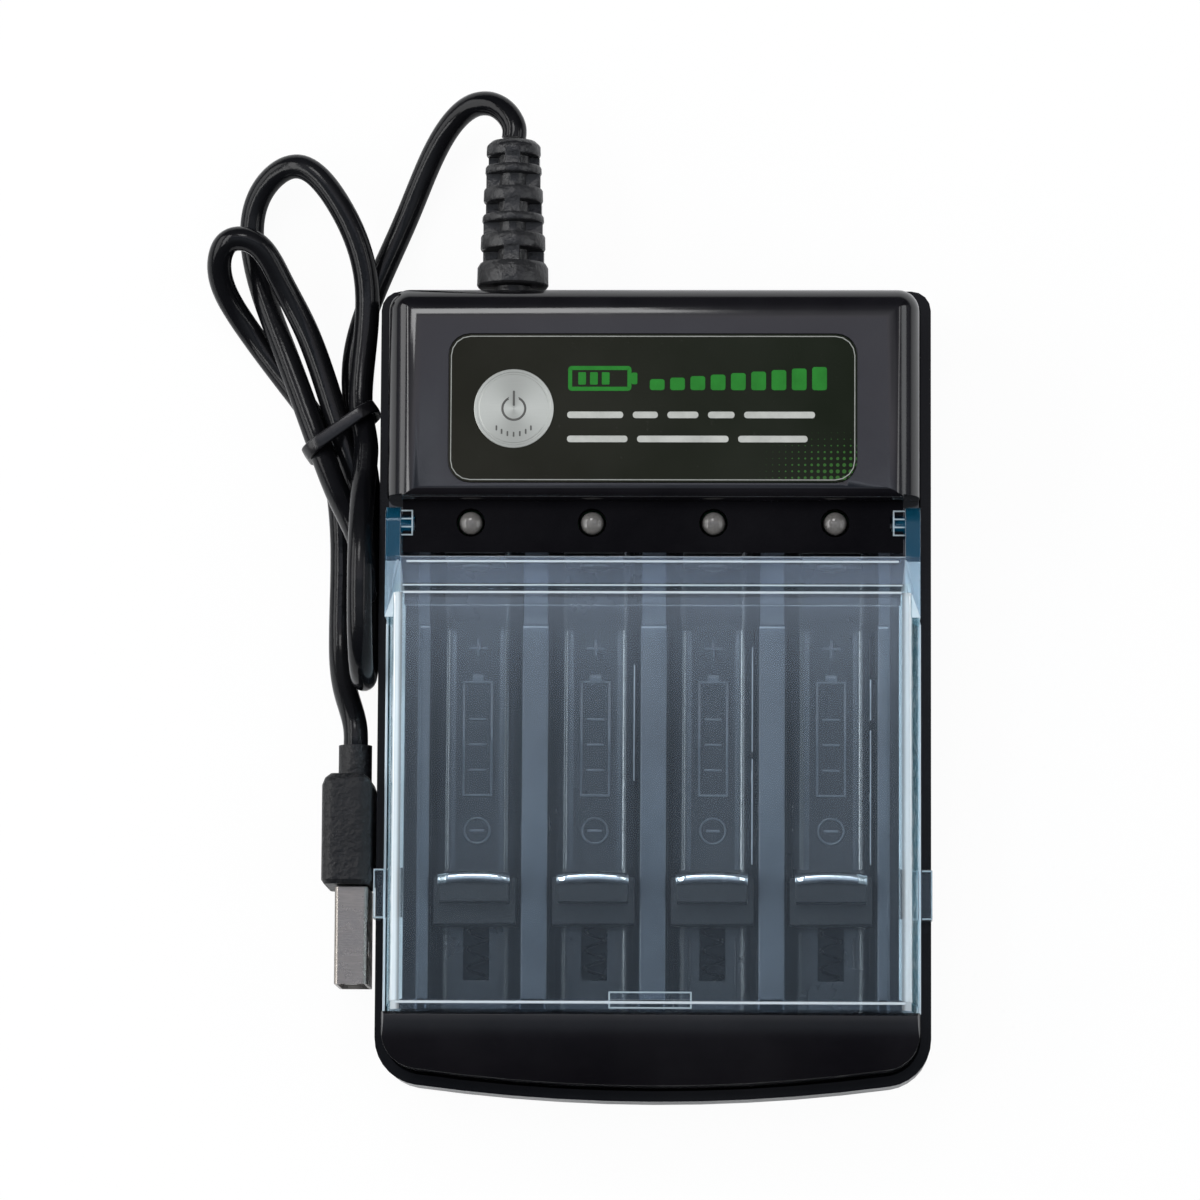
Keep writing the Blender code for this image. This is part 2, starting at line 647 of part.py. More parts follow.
def upper_shell():
    shell = prism("upper_shell", head_profile(), "X", -HALF_WIDTH, HALF_WIDTH, PARTS)
    add(shell, prism("front_block", front_profile(), "X", -HALF_WIDTH, HALF_WIDTH, CUTTERS))
    tray = (BAY_FRONT_Y - SHELL_WALL / 2, BAY_HEAD_Y + SHELL_WALL / 2)
    add(shell, prism("battery_tray", tray_profile(), "Y", tray[0], tray[1], CUTTERS))
    keep(shell, prism("shoulders", width_profile(), "Y", -HALF_LENGTH, HALF_LENGTH, CUTTERS))
    plan = case_outline(EDGE_STEP)
    low = GROOVE_FLOOR - TRAY_SKIN - OVERLAP * 2
    keep(shell, prism("upper_plan", plan, "Z", low, HEAD_TOP + OVERLAP * 2, CUTTERS))

    foot = UPPER_FOOT - OVERLAP
    side = UPPER_HALF - SIDE_BEVEL_WIDTH
    head_hollow = box(
        "head_hollow", (-side, side),
        (HEAD_FRONT_Y + SHELL_WALL, UPPER_REAR_Y - SHELL_WALL), (foot, HEAD_TOP - SHELL_WALL), CUTTERS,
    )
    cut(shell, head_hollow)
    strip = UPPER_HALF - STRIP_SIDE_WALL
    strip_hollow = box(
        "strip_hollow", (-strip, strip),
        (BAY_HEAD_Y + SHELL_WALL, HEAD_FRONT_Y + SHELL_WALL + OVERLAP),
        (foot, STRIP_TOP - SHELL_WALL), CUTTERS,
    )
    cut(shell, strip_hollow)
    front_hollow = box(
        "front_hollow", (-side, side),
        (UPPER_FRONT_Y + FRONT_BOW + SHELL_WALL - GAP * 3, BAY_FRONT_Y - SHELL_WALL),
        (foot, FRONT_BLOCK_TOP - FRONT_BLOCK_DROP), CUTTERS,
    )
    cut(shell, front_hollow)
    for i, (x, y) in enumerate(SCREWS):
        high = HEAD_TOP - SHELL_WALL + OVERLAP if y > 0 else FRONT_BLOCK_TOP - FRONT_BLOCK_DROP + OVERLAP
        add(shell, cylinder(f"boss_{i + 1}", BOSS_RADIUS, (x, y), "Z", UPPER_FOOT, high, CUTTERS))
    for i, (x, y) in enumerate(SCREWS):
        pilot = cylinder(
            f"pilot_{i + 1}", SCREW_RADIUS + GAP, (x, y), "Z",
            UPPER_FOOT - OVERLAP, SCREW_TIP + GAP, CUTTERS, 24,
        )
        cut(shell, pilot)
    label = rounded_rectangle(
        (-LABEL_WIDTH / 2, LABEL_WIDTH / 2), (LABEL_FRONT_Y, LABEL_REAR_Y), LABEL_RADIUS
    )
    low = HEAD_TOP - LABEL_RECESS
    cut(shell, prism("label_recess", label, "Z", low, HEAD_TOP + OVERLAP, CUTTERS))
    for i, x in enumerate(LED_XS):
        hole = cylinder(
            f"led_hole_{i + 1}", LED_HOLE_RADIUS, (x, LED_Y), "Z",
            STRIP_TOP - SHELL_WALL - OVERLAP, STRIP_TOP + OVERLAP, CUTTERS,
        )
        cut(shell, hole)
    for i, x in enumerate(SLOT_XS):
        cut(shell, tab_way(i, x))
        keel = KEEL_WIDTH / 2 + GAP
        rear = KEEL_REAR_Y + GAP
        front = KEEL_REAR_Y - KEEL_LENGTH - SLIDER_TRAVEL - GAP
        z = (GROOVE_FLOOR - TRAY_SKIN - OVERLAP, GROOVE_FLOOR + OVERLAP)
        cut(shell, box(f"keel_slot_{i + 1}", (x - keel, x + keel), (front, rear), z, CUTTERS))
    for side in (-1, 1):
        cut(shell, arm_notch(side))
        cut(shell, pin_notch(side))
    cut(shell, relief_way("upper_cord_way"))
    return shell


def tab_span(x):
    """Left and right edge of a positive contact's tab, on the side away from the LED."""
    side = -1 if x > 0 else 1
    outer = POSITIVE_WIDTH / 2 - GAP / 3
    return sorted((x + side * (outer - TAB_WIDTH), x + side * outer))


def tab_way(i, x):
    left, right = tab_span(x)
    y = (BAY_HEAD_Y - OVERLAP, BAY_HEAD_Y + SHELL_WALL + OVERLAP)
    z = (TAB_LOW - GAP, TAB_LOW + CONTACT_SHEET + GAP)
    return box(f"tab_way_{i + 1}", (left - GAP, right + GAP), y, z, CUTTERS)


def arm_notch(side):
    x = sorted((side * (ARM_INNER - GAP), side * (HALF_WIDTH + OVERLAP)))
    y = (BAY_HEAD_Y - OVERLAP, NOTCH_REAR_Y)
    z = (HINGE_Z - ARM_RADIUS - GAP * 2, HEAD_TOP + OVERLAP)
    return box(f"arm_notch_{side + 2}", x, y, z, CUTTERS)


def pin_notch(side):
    """Round seat for a hinge pin with a narrower mouth that it snaps in through."""
    radius = PIN_RADIUS + GAP
    mouth = PIN_RADIUS - GAP / 2
    neck = HINGE_Z + PIN_RADIUS + GAP
    points = arc((HINGE_Y, HINGE_Z), (radius, radius), 180, 360, 13)
    points += [(HINGE_Y + radius, HINGE_Z + PIN_RADIUS / 2), (HINGE_Y + mouth, neck)]
    points += [(HINGE_Y + radius, STRIP_TOP + OVERLAP), (HINGE_Y - radius, STRIP_TOP + OVERLAP)]
    points += [(HINGE_Y - mouth, neck), (HINGE_Y - radius, HINGE_Z + PIN_RADIUS / 2)]
    x = sorted((side * (PIN_INNER - GAP), side * (ARM_INNER + OVERLAP)))
    return prism(f"pin_notch_{side + 2}", points, "X", x[0], x[1], CUTTERS)


def lid_section():
    """Front view of the clear lid: plate, rounded shoulders and leaning skirts."""
    sheet = LID_THICKNESS
    turn = LID_TURN
    outer = [(LID_FOOT_HALF, LID_FOOT), (LID_SHOULDER_HALF, LID_TOP - turn)]
    outer += arc((LID_PLATE_HALF, LID_TOP - turn), (LID_SHOULDER_HALF - LID_PLATE_HALF, turn), 22, 90, 4)
    inner = [(LID_PLATE_HALF - 0.0004, LID_TOP - sheet), (LID_SHOULDER_HALF - sheet, LID_TOP - sheet - 0.0012)]
    inner.append((LID_FOOT_HALF - sheet, LID_FOOT))
    right = outer
    left = [(-u, v) for u, v in reversed(outer)]
    inside = [(-u, v) for u, v in reversed(inner)]
    return right + left + inside + inner


def lid():
    cover = prism("lid", lid_section(), "Y", LID_FRONT_Y + 0.0011, LID_REAR_Y, PARTS)
    slope = SKIRT_SLOPE
    rise = LID_FOOT + slope * (LID_REAR_Y + OVERLAP - SKIRT_REAR_Y)
    corner = (
        (SKIRT_REAR_Y - OVERLAP / slope, LID_FOOT - OVERLAP), (LID_REAR_Y + OVERLAP, LID_FOOT - OVERLAP),
        (LID_REAR_Y + OVERLAP, rise),
    )
    cut(cover, prism("skirt_corner", corner, "X", -HALF_WIDTH, HALF_WIDTH, CUTTERS))
    ledge = (
        (LID_REAR_Y - 0.0016, LEDGE_TOP - LID_THICKNESS), (LEDGE_REAR_Y, LEDGE_TOP - LID_THICKNESS),
        (LEDGE_REAR_Y, LEDGE_TOP), (LID_REAR_Y + 0.0014, LEDGE_TOP),
        (LID_REAR_Y - 0.0004, LID_TOP - OVERLAP), (LID_REAR_Y - 0.0016, LID_TOP - OVERLAP),
    )
    half = ARM_INNER + OVERLAP
    add(cover, prism("lid_ledge", ledge, "X", -half, half, CUTTERS))
    low = LID_FOOT + 0.0010
    front = (
        (LID_FOOT_HALF - 0.0002, low), (LID_SHOULDER_HALF - 0.0001, LID_TOP - 0.0024),
        (LID_PLATE_HALF, LID_TOP - OVERLAP), (-LID_PLATE_HALF, LID_TOP - OVERLAP),
        (-LID_SHOULDER_HALF + 0.0001, LID_TOP - 0.0024), (-LID_FOOT_HALF + 0.0002, low),
    )
    add(cover, prism("lid_front", front, "Y", LID_FRONT_Y, LID_FRONT_Y + 0.0014, CUTTERS))
    bar = box(
        "latch_bar", (-LATCH_BAR_WIDTH / 2, LATCH_BAR_WIDTH / 2), (LID_FRONT_Y + 0.0003, LID_FRONT_Y + 0.0024),
        (LID_TOP - 0.0030, LID_TOP - OVERLAP), CUTTERS,
    )
    add(cover, bar)
    web = [(SKIRT_REAR_Y - 0.0020, LEDGE_TOP), (SKIRT_REAR_Y - 0.0020, LID_FOOT + 0.0012)]
    web.append((LID_REAR_Y, LID_FOOT + slope * (LID_REAR_Y - SKIRT_REAR_Y)))
    web.append((SKIRT_REAR_Y + (HINGE_Z - ARM_RADIUS - LID_FOOT) / slope, HINGE_Z - ARM_RADIUS))
    web += arc((HINGE_Y, HINGE_Z), (ARM_RADIUS, ARM_RADIUS), 270, 450, 13)
    web.append((LEDGE_REAR_Y, LEDGE_TOP - 0.0002))
    for side in (-1, 1):
        x = sorted((side * ARM_INNER, side * ARM_OUTER))
        add(cover, prism(f"arm_{side + 2}", web, "X", x[0], x[1], CUTTERS))
        x = sorted((side * PIN_INNER, side * (ARM_INNER + OVERLAP)))
        pin = cylinder(f"pin_{side + 2}", PIN_RADIUS, (HINGE_Y, HINGE_Z), "X", x[0], x[1], CUTTERS, 24)
        add(cover, pin)
        x = sorted((side * (LID_SHOULDER_HALF + 0.0002), side * (HALF_WIDTH + TAB_STAND)))
        y = (BAY_FRONT_Y + TAB_FRONT, BAY_FRONT_Y + TAB_FRONT + TAB_LENGTH)
        add(cover, box(f"finger_tab_{side + 2}", x, y, (LID_FOOT - 0.0002, TAB_TOP), CUTTERS))
    return cover


def label_plate():
    edge = LABEL_WIDTH / 2 - SEAT_GAP
    outline = rounded_rectangle(
        (-edge, edge), (LABEL_FRONT_Y + SEAT_GAP, LABEL_REAR_Y - SEAT_GAP), LABEL_RADIUS - SEAT_GAP
    )
    low = HEAD_TOP - LABEL_RECESS + SEAT_GAP / 2
    return prism("label_plate", outline, "Z", low, low + LABEL_THICKNESS, PARTS)


def led(i, x):
    radius = LED_RADIUS
    top = STRIP_TOP + 0.0001
    brim = BOARD_TOP + GAP + LED_FLANGE * 4
    profile = [(radius + LED_FLANGE, BOARD_TOP + GAP), (radius + LED_FLANGE, brim)]
    profile += [(radius, brim), (radius, top - 0.0010)]
    profile += [(u, v) for u, v in arc((0, top - 0.0010), (radius, 0.0010), 20, 84, 5)]
    return lathe(f"led_{i + 1}", profile, "Z", (x, LED_Y), PARTS)


def positive_contact(i, x):
    rear = BAY_HEAD_Y - GAP
    front = rear - CONTACT_SHEET
    half = POSITIVE_WIDTH / 2
    y = (front, rear)
    plate = box(f"positive_contact_{i + 1}", (x - half, x + half), y, (POSITIVE_LOW, POSITIVE_TOP), PARTS)
    left, right = tab_span(x)
    z = (TAB_LOW, TAB_LOW + CONTACT_SHEET)
    tab_y = (front + CONTACT_SHEET / 2, BOARD_FRONT_Y + 0.0016)
    add(plate, box(f"contact_tab_{i + 1}", (left, right), tab_y, z, CUTTERS))
    rings = []
    for shrink, depth in ((0, CONTACT_SHEET / 2), (0.0002, -NUB_HEIGHT * 0.6), (0.0009, -NUB_HEIGHT)):
        outline = rounded_rectangle(
            (x - NUB_HALF + shrink, x + NUB_HALF - shrink),
            (NUB_LOW + shrink, NUB_TOP - shrink), NUB_HALF - SEAT_GAP - shrink * 0.9,
        )
        rings.append([(u, front + depth, v) for u, v in outline])
    add(plate, ring_stack(f"contact_nub_{i + 1}", rings, CUTTERS))
    return plate


def slider_block(i, x):
    front = SLIDER_FRONT_Y
    rear = front - SLIDER_LENGTH
    half = SLIDER_WIDTH / 2
    bottom = GROOVE_FLOOR + GAP + SEAT_GAP
    groove = GROOVE_WIDTH / 2 - GAP - SEAT_GAP
    side = [(half, SLIDER_DECK), (half, TRAY_TOP + GAP * 2), (groove, SEAT_LOW + GAP * 2)]
    side += [(groove, bottom + GROOVE_CORNER), (groove - GROOVE_CORNER, bottom)]
    outline = [(x + u, v) for u, v in side] + [(x - u, v) for u, v in reversed(side)]
    block = prism(f"slider_block_{i + 1}", outline, "Y", rear, front, PARTS)
    head = half - SLIDER_HEAD_STEP
    z = (SLIDER_DECK - OVERLAP, SLIDER_TOP)
    y = (front - SLIDER_HEAD_LENGTH, front)
    add(block, box(f"slider_head_{i + 1}", (x - head, x + head), y, z, CUTTERS))
    keel = KEEL_WIDTH / 2
    y = (KEEL_REAR_Y - KEEL_LENGTH, KEEL_REAR_Y)
    shoe_top = GROOVE_FLOOR - TRAY_SKIN - GAP
    z = (shoe_top - OVERLAP, bottom + OVERLAP)
    add(block, box(f"keel_{i + 1}", (x - keel, x + keel), y, z, CUTTERS))
    shoe = SHOE_WIDTH / 2
    add(block, box(f"shoe_{i + 1}", (x - shoe, x + shoe), y, (SHOE_FOOT, shoe_top), CUTTERS))
    set_origin(block, (x, NEGATIVE_FACE_Y, SLIDER_AXIS_Z))
    return block


def negative_contact(i, x):
    face = NEGATIVE_FACE_Y
    sheet = CONTACT_SHEET
    outer = LIP_RADIUS
    inner = outer - sheet
    bend = (face - outer, NEGATIVE_TOP - outer)
    points = [(face, NEGATIVE_LOW)] + arc(bend, (outer, outer), 0, 90, 5)
    points += [(face - LIP_DEPTH, NEGATIVE_TOP), (face - LIP_DEPTH, NEGATIVE_TOP - sheet)]
    points += arc(bend, (inner, inner), 90, 0, 5) + [(face - sheet, NEGATIVE_LOW)]
    half = NEGATIVE_WIDTH / 2
    strip = prism(f"negative_contact_{i + 1}", points, "X", x - half, x + half, PARTS)
    set_origin(strip, (x, NEGATIVE_FACE_Y, SLIDER_AXIS_Z))
    return strip


def return_spring(i, x, look):
    start = KEEL_REAR_Y - KEEL_LENGTH - GAP - SPRING_WIRE / 2
    end = BUS_Y + GAP + SPRING_WIRE / 2
    radius = (SPRING_DIAMETER - SPRING_WIRE) / 2
    per_turn = 10
    count = SPRING_TURNS * per_turn
    points = []
    for j in range(count + 1):
        turn = 2 * math.pi * j / per_turn
        y = start + (end - start) * j / count
        points.append((x + radius * math.cos(turn), y, SPRING_Z + radius * math.sin(turn)))
    return tube(f"return_spring_{i + 1}", points, SPRING_WIRE, look, resolution=1)


def case_screw(i, x, y):
    head = SCREW_SEAT - GAP
    profile = [(SCREW_HEAD_RADIUS - 0.0004, head - SCREW_HEAD_HEIGHT)]
    profile += [(SCREW_HEAD_RADIUS, head - SCREW_HEAD_HEIGHT + 0.0004), (SCREW_HEAD_RADIUS, head)]
    profile += [(SCREW_RADIUS, head), (SCREW_RADIUS, SCREW_TIP - 0.0012), (0.0003, SCREW_TIP)]
    return lathe(f"case_screw_{i + 1}", profile, "Z", (x, y), PARTS, 24)


def rubber_foot(i, x, y):
    top = CASE_BASE + FOOT_RECESS - SEAT_GAP
    profile = [(FOOT_RADIUS - 0.0003, 0.0), (FOOT_RADIUS, 0.0003), (FOOT_RADIUS, top)]
    return lathe(f"foot_{i + 1}", profile, "Z", (x, y), PARTS)


def strain_relief():
    """Inner flange, neck through both walls, outer flange and tapering ribs."""
    inner_rear = UPPER_REAR_Y - SHELL_WALL - GAP
    outer = HALF_LENGTH + GAP
    flange_end = outer + RELIEF_FLANGE_THICKNESS
    neck = RELIEF_NECK_RADIUS
    profile = [(RELIEF_INNER_RADIUS, inner_rear - RELIEF_INNER_THICKNESS)]
    profile += [(RELIEF_INNER_RADIUS, inner_rear), (neck, inner_rear), (neck, outer)]
    profile += [(RELIEF_FLANGE_RADIUS, outer), (RELIEF_FLANGE_RADIUS - RELIEF_TAPER, flange_end)]
    pitch = (HALF_LENGTH + RELIEF_REACH - flange_end) / RELIEF_SEGMENTS
    core = RELIEF_CORE_RADIUS
    for k in range(RELIEF_SEGMENTS):
        start = flange_end + pitch * k
        radius = RELIEF_FIRST_RADIUS - RELIEF_TAPER * k
        profile += [(core, start), (core, start + RELIEF_GROOVE), (radius, start + RELIEF_GROOVE)]
        profile.append((radius - RELIEF_TAPER, start + pitch))
    return lathe("strain_relief", profile, "Y", (CORD_X, CORD_EXIT_Z), PARTS)


def cord_tie(look):
    across = Vector((0.81, 0.58, 0)).normalized()
    outline = rounded_rectangle(
        (-TIE_HALF_WIDTH, TIE_HALF_WIDTH), (-TIE_HALF_HEIGHT, TIE_HALF_HEIGHT), TIE_CORNER
    )
    centre = Vector((CORNER_X, CORNER_Y, 0.0)) + Vector(TIE_CENTRE)
    points = [tuple(centre + across * u + Vector((0, 0, v))) for u, v in outline]
    return tube("cord_tie", points, TIE_WIRE, look, closed=True)


def plug_grip():
    half = GRIP_THICKNESS / 2
    tall = GRIP_HEIGHT / 2
    stations = (
        (GRIP_REAR_Y, 0.0012), (GRIP_REAR_Y - 0.0006, 0.0004), (GRIP_REAR_Y - 0.0016, 0.0),
        (GRIP_FRONT_Y + 0.0006, 0.0), (GRIP_FRONT_Y, 0.0004),
    )
    rings = []
    for y, inset in stations:
        outline = rounded_rectangle(
            (PLUG_GRIP_X - half + inset, PLUG_GRIP_X + half - inset),
            (PLUG_Z - tall + inset, PLUG_Z + tall - inset), 0.0018 - inset,
        )
        rings.append([(u, y, v) for u, v in outline])
    grip = ring_stack("plug_overmould", rings, PARTS)
    neck = cylinder(
        "plug_neck", PLUG_NECK_RADIUS, (PLUG_X, PLUG_Z), "Y", GRIP_REAR_Y - OVERLAP, PLUG_NECK_Y, CUTTERS
    )
    add(grip, neck)
    return grip


def plug_shell():
    half = PLUG_SHELL_THICKNESS / 2
    tall = PLUG_SHELL_HEIGHT / 2
    sheet = PLUG_SHELL_SHEET
    outline = rounded_rectangle((PLUG_X - half, PLUG_X + half), (PLUG_Z - tall, PLUG_Z + tall), 0.0006)
    shell = prism("plug_shell", outline, "Y", PLUG_TIP_Y, GRIP_FRONT_Y - GAP, PARTS)
    inside = box(
        "plug_mouth", (PLUG_X - half + sheet, PLUG_X + half - sheet), (PLUG_TIP_Y - OVERLAP, GRIP_FRONT_Y - 0.0010),
        (PLUG_Z - tall + sheet, PLUG_Z + tall - sheet), CUTTERS,
    )
    cut(shell, inside)
    for k, side in enumerate((-1, 1)):
        z = PLUG_Z + side * PLUG_WINDOW_OFFSET
        y = PLUG_TIP_Y + PLUG_WINDOW_SETBACK
        window = box(
            f"plug_window_{k + 1}", (PLUG_X - half - OVERLAP, PLUG_X + half + OVERLAP),
            (y, y + PLUG_WINDOW), (z - PLUG_WINDOW / 2, z + PLUG_WINDOW / 2), CUTTERS,
        )
        cut(shell, window)
    return shell


def plug_tongue():
    wall = PLUG_X - PLUG_SHELL_THICKNESS / 2 + PLUG_SHELL_SHEET + GAP
    tall = PLUG_SHELL_HEIGHT / 2 - PLUG_SHELL_SHEET - GAP
    y = (PLUG_TIP_Y + 0.0006, GRIP_FRONT_Y - 0.0010 - GAP)
    return box("plug_tongue", (wall, wall + TONGUE_THICKNESS), y, (PLUG_Z - tall, PLUG_Z + tall), PARTS)


def ground_points():
    """From the bus, along the case's left wall under the tray, and up to the board."""
    wall = -HALF_WIDTH + WIRE_SIDE_GAP
    end = -BUS_HALF - GAP
    front = BUS_Y + WIRE_DIAMETER
    rear = BAY_HEAD_Y
    low = WIRE_Z
    board_x = -BOARD_HALF / 1.45
    board_y = BOARD_MIDDLE_Y
    return (
        (end, front, low + 0.0016), (end - 0.0024, front + 0.0031, low + 0.0012),
        (wall + 0.0016, front + 0.0066, low + 0.0008), (wall, front + 0.0121, low + 0.0004),
        (wall, front + 0.0381, low), (wall, rear - 0.0039, low),
        (wall + 0.0006, rear + 0.0021, low + 0.0014),
        (wall + 0.0031, board_y - 0.0041, low + 0.0049),
        (wall + 0.0081, board_y - 0.0003, low + 0.0086),
        (board_x - 0.0015, board_y + 0.0001, low + 0.0110),
        (board_x, board_y + 0.0002, BOARD_BASE - GAP * 3),
    )


def lead_points(side):
    """A lead from the strain relief's inner end over the board's rear edge."""
    x = CORD_X + side * WIRE_DIAMETER * 0.75
    start = UPPER_REAR_Y - SHELL_WALL - GAP * 2 - RELIEF_INNER_THICKNESS
    edge = BOARD_REAR_Y
    top = BOARD_TOP + GAP * 2
    return (
        (x, start, CORD_EXIT_Z), (x + side * 0.0002, edge + 0.0047, CORD_EXIT_Z + 0.0016),
        (x + side * 0.0003, edge + 0.0026, CORD_EXIT_Z + 0.0052),
        (x + side * 0.0003, edge + 0.0006, top + 0.0012),
        (x + side * 0.0002, edge - 0.0012, top + 0.0012), (x, edge - 0.0019, top),
    )


def build():
    shell_black = material("shell_black", (0.030, 0.030, 0.036), 0.18)
    base_black = material("base_black", (0.026, 0.026, 0.030), 0.20)
    label_dark = material("label_dark", (0.030, 0.034, 0.026), 0.30)
    led_lens = material("led_lens", (0.55, 0.56, 0.58), 0.15)
    clear = material("clear_lid", (0.62, 0.72, 0.78), 0.05, alpha=0.30)
    slider_plastic = material("slider_plastic", (0.05, 0.05, 0.06), 0.35)
    contact_metal = material("contact_metal", (0.62, 0.58, 0.52), 0.25, 1.0)
    spring_steel = material("spring_steel", (0.60, 0.60, 0.60), 0.25, 1.0)
    screw_steel = material("screw_steel", (0.50, 0.50, 0.50), 0.30, 1.0)
    rubber = material("foot_rubber", (0.02, 0.02, 0.02), 0.80)
    soft_black = material("relief_black", (0.02, 0.02, 0.02), 0.60)
    cord_black = material("cord_black", (0.02, 0.02, 0.022), 0.45)
    tie_look = material("tie_black", (0.02, 0.02, 0.02), 0.40)
    grip_black = material("grip_black", (0.02, 0.02, 0.022), 0.50)
    nickel = material("plug_nickel", (0.60, 0.57, 0.53), 0.28, 1.0)
    tongue_white = material("tongue_white", (0.80, 0.80, 0.78), 0.50)
    board_green = material("board_green", (0.02, 0.16, 0.06), 0.40)
    chip_black = material("chip_black", (0.02, 0.02, 0.02), 0.50)
    ferrite = material("ferrite", (0.06, 0.06, 0.06), 0.60)
    can_metal = material("capacitor_can", (0.70, 0.70, 0.72), 0.30, 1.0)
    wire_black = material("wire_black", (0.02, 0.02, 0.02), 0.50)
    wire_red = material("wire_red", (0.50, 0.02, 0.02), 0.50)

    paint(lower_shell(), base_black)
    paint(upper_shell(), shell_black)
    paint(label_plate(), label_dark)
    for i, x in enumerate(LED_XS):
        paint(led(i, x), led_lens, smooth=True)
    cover = lid()
    paint(cover, clear)
    set_origin(cover, (0.0, HINGE_Y, HINGE_Z))
    for i, x in enumerate(SLOT_XS):
        paint(positive_contact(i, x), contact_metal)
        paint(slider_block(i, x), slider_plastic)
        paint(negative_contact(i, x), contact_metal)
        return_spring(i, x, spring_steel)
    for i, (x, y) in enumerate(SCREWS):
        paint(case_screw(i, x, y), screw_steel)
    for i, (x, y) in enumerate(FEET):
        paint(rubber_foot(i, x, y), rubber)

    board = box(
        "circuit_board", (-BOARD_HALF, BOARD_HALF), (BOARD_FRONT_Y, BOARD_REAR_Y),
        (BOARD_BASE, BOARD_TOP), PARTS,
    )
    paint(board, board_green)
    on_board = BOARD_TOP + GAP
    parts_y = BOARD_MIDDLE_Y + GAP
    half = CHIP_SIZE / 2
    chip = box(
        "controller_chip", (-half, half), (parts_y - half, parts_y + half),
        (on_board, on_board + CHIP_HEIGHT), PARTS,
    )
    paint(chip, chip_black)
    coil_x = half + PART_SPACING + INDUCTOR_RADIUS
    coil_top = on_board + INDUCTOR_HEIGHT
    coil = cylinder("inductor", INDUCTOR_RADIUS, (coil_x, parts_y), "Z", on_board, coil_top, PARTS)
    paint(coil, ferrite)
    can_top = on_board + CAPACITOR_HEIGHT
    left_x = -half - PART_SPACING - CAPACITOR_RADIUS
    right_x = coil_x + INDUCTOR_RADIUS + PART_SPACING / 3 + CAPACITOR_RADIUS
    for i, x in enumerate((left_x, right_x)):
        name = f"capacitor_{i + 1}"
        can = cylinder(name, CAPACITOR_RADIUS, (x, parts_y), "Z", on_board, can_top, PARTS, 24)
        paint(can, can_metal)
    bus = box(
        "negative_bus", (-BUS_HALF, BUS_HALF), (BUS_Y - CONTACT_SHEET, BUS_Y),
        (FLOOR_TOP + GAP, BUS_TOP), PARTS,
    )
    paint(bus, contact_metal)
    tube("ground_wire", ground_points(), WIRE_DIAMETER, wire_black)
    tube("lead_red", lead_points(-1), WIRE_DIAMETER, wire_red)
    tube("lead_black", lead_points(1), WIRE_DIAMETER, wire_black)

    paint(strain_relief(), soft_black)
    tube("cord", cord_points(), CORD_DIAMETER, cord_black)
    cord_tie(tie_look)
    paint(plug_grip(), grip_black)
    paint(plug_shell(), nickel)
    paint(plug_tongue(), tongue_white)


build()
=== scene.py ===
import math

import bmesh
import bpy
import numpy as np
from mathutils import Matrix, Vector


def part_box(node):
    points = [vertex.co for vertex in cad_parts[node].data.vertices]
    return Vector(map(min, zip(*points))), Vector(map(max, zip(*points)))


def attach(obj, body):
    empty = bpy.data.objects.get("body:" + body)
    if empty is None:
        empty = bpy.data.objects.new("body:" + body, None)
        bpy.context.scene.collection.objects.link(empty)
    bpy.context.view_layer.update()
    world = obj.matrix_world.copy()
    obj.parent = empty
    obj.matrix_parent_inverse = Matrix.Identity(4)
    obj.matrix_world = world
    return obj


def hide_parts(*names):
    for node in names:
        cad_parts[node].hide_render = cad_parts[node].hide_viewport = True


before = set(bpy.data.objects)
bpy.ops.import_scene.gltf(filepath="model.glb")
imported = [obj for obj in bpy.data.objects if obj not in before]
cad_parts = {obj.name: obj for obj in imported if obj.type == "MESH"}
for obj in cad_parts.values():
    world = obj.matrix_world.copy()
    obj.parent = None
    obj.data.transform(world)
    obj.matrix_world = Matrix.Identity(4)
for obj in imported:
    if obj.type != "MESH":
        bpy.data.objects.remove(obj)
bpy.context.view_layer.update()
scene = bpy.context.scene
scene.view_settings.view_transform = "Standard"
MM = 0.001

# Viewpoint. The charger lies on a table and is seen from almost straight above, from a little
# towards its front, through a long lens.
CAMERA_AIM = Vector((-7.853 * MM, 14.31 * MM, 0.0))
CAMERA_DISTANCE, LENS_LENGTH = 0.90, 193.77
tilt, swing, roll = math.radians(7.0), math.radians(1.8), math.radians(0.33)
back = Vector((math.sin(swing), -math.sin(tilt) * math.cos(swing), math.cos(tilt) * math.cos(swing)))
across = (-back).cross(Vector((0, 1, 0))).normalized()
upward = across.cross(-back)
right = math.cos(roll) * across + math.sin(roll) * upward
top = math.cos(roll) * upward - math.sin(roll) * across
camera_data = bpy.data.cameras.new("camera")
camera_data.sensor_width = 36.0
camera_data.lens = LENS_LENGTH
camera_data.clip_start = 0.02
camera_data.clip_end = 20.0
camera = bpy.data.objects.new("camera", camera_data)
scene.collection.objects.link(camera)
eye = CAMERA_AIM + back * CAMERA_DISTANCE
camera.matrix_world = Matrix.Translation(eye) @ Matrix((right, top, back)).transposed().to_4x4()
scene.camera = camera


# Effects that several finishes share. Each is a node group with named inputs: a moulded
# surface's fine unevenness, the dull patches that handling leaves, and specks of dust.
def effect(name, inputs, outputs):
    """An empty node group with these named inputs and outputs, and its two end nodes."""
    tree = bpy.data.node_groups.new(name, "ShaderNodeTree")
    for label, kind, value in inputs:
        socket = tree.interface.new_socket(label, in_out="INPUT", socket_type=kind)
        socket.default_value = value
    for label, kind in outputs:
        tree.interface.new_socket(label, in_out="OUTPUT", socket_type=kind)
    return tree, tree.nodes.new("NodeGroupInput"), tree.nodes.new("NodeGroupOutput")


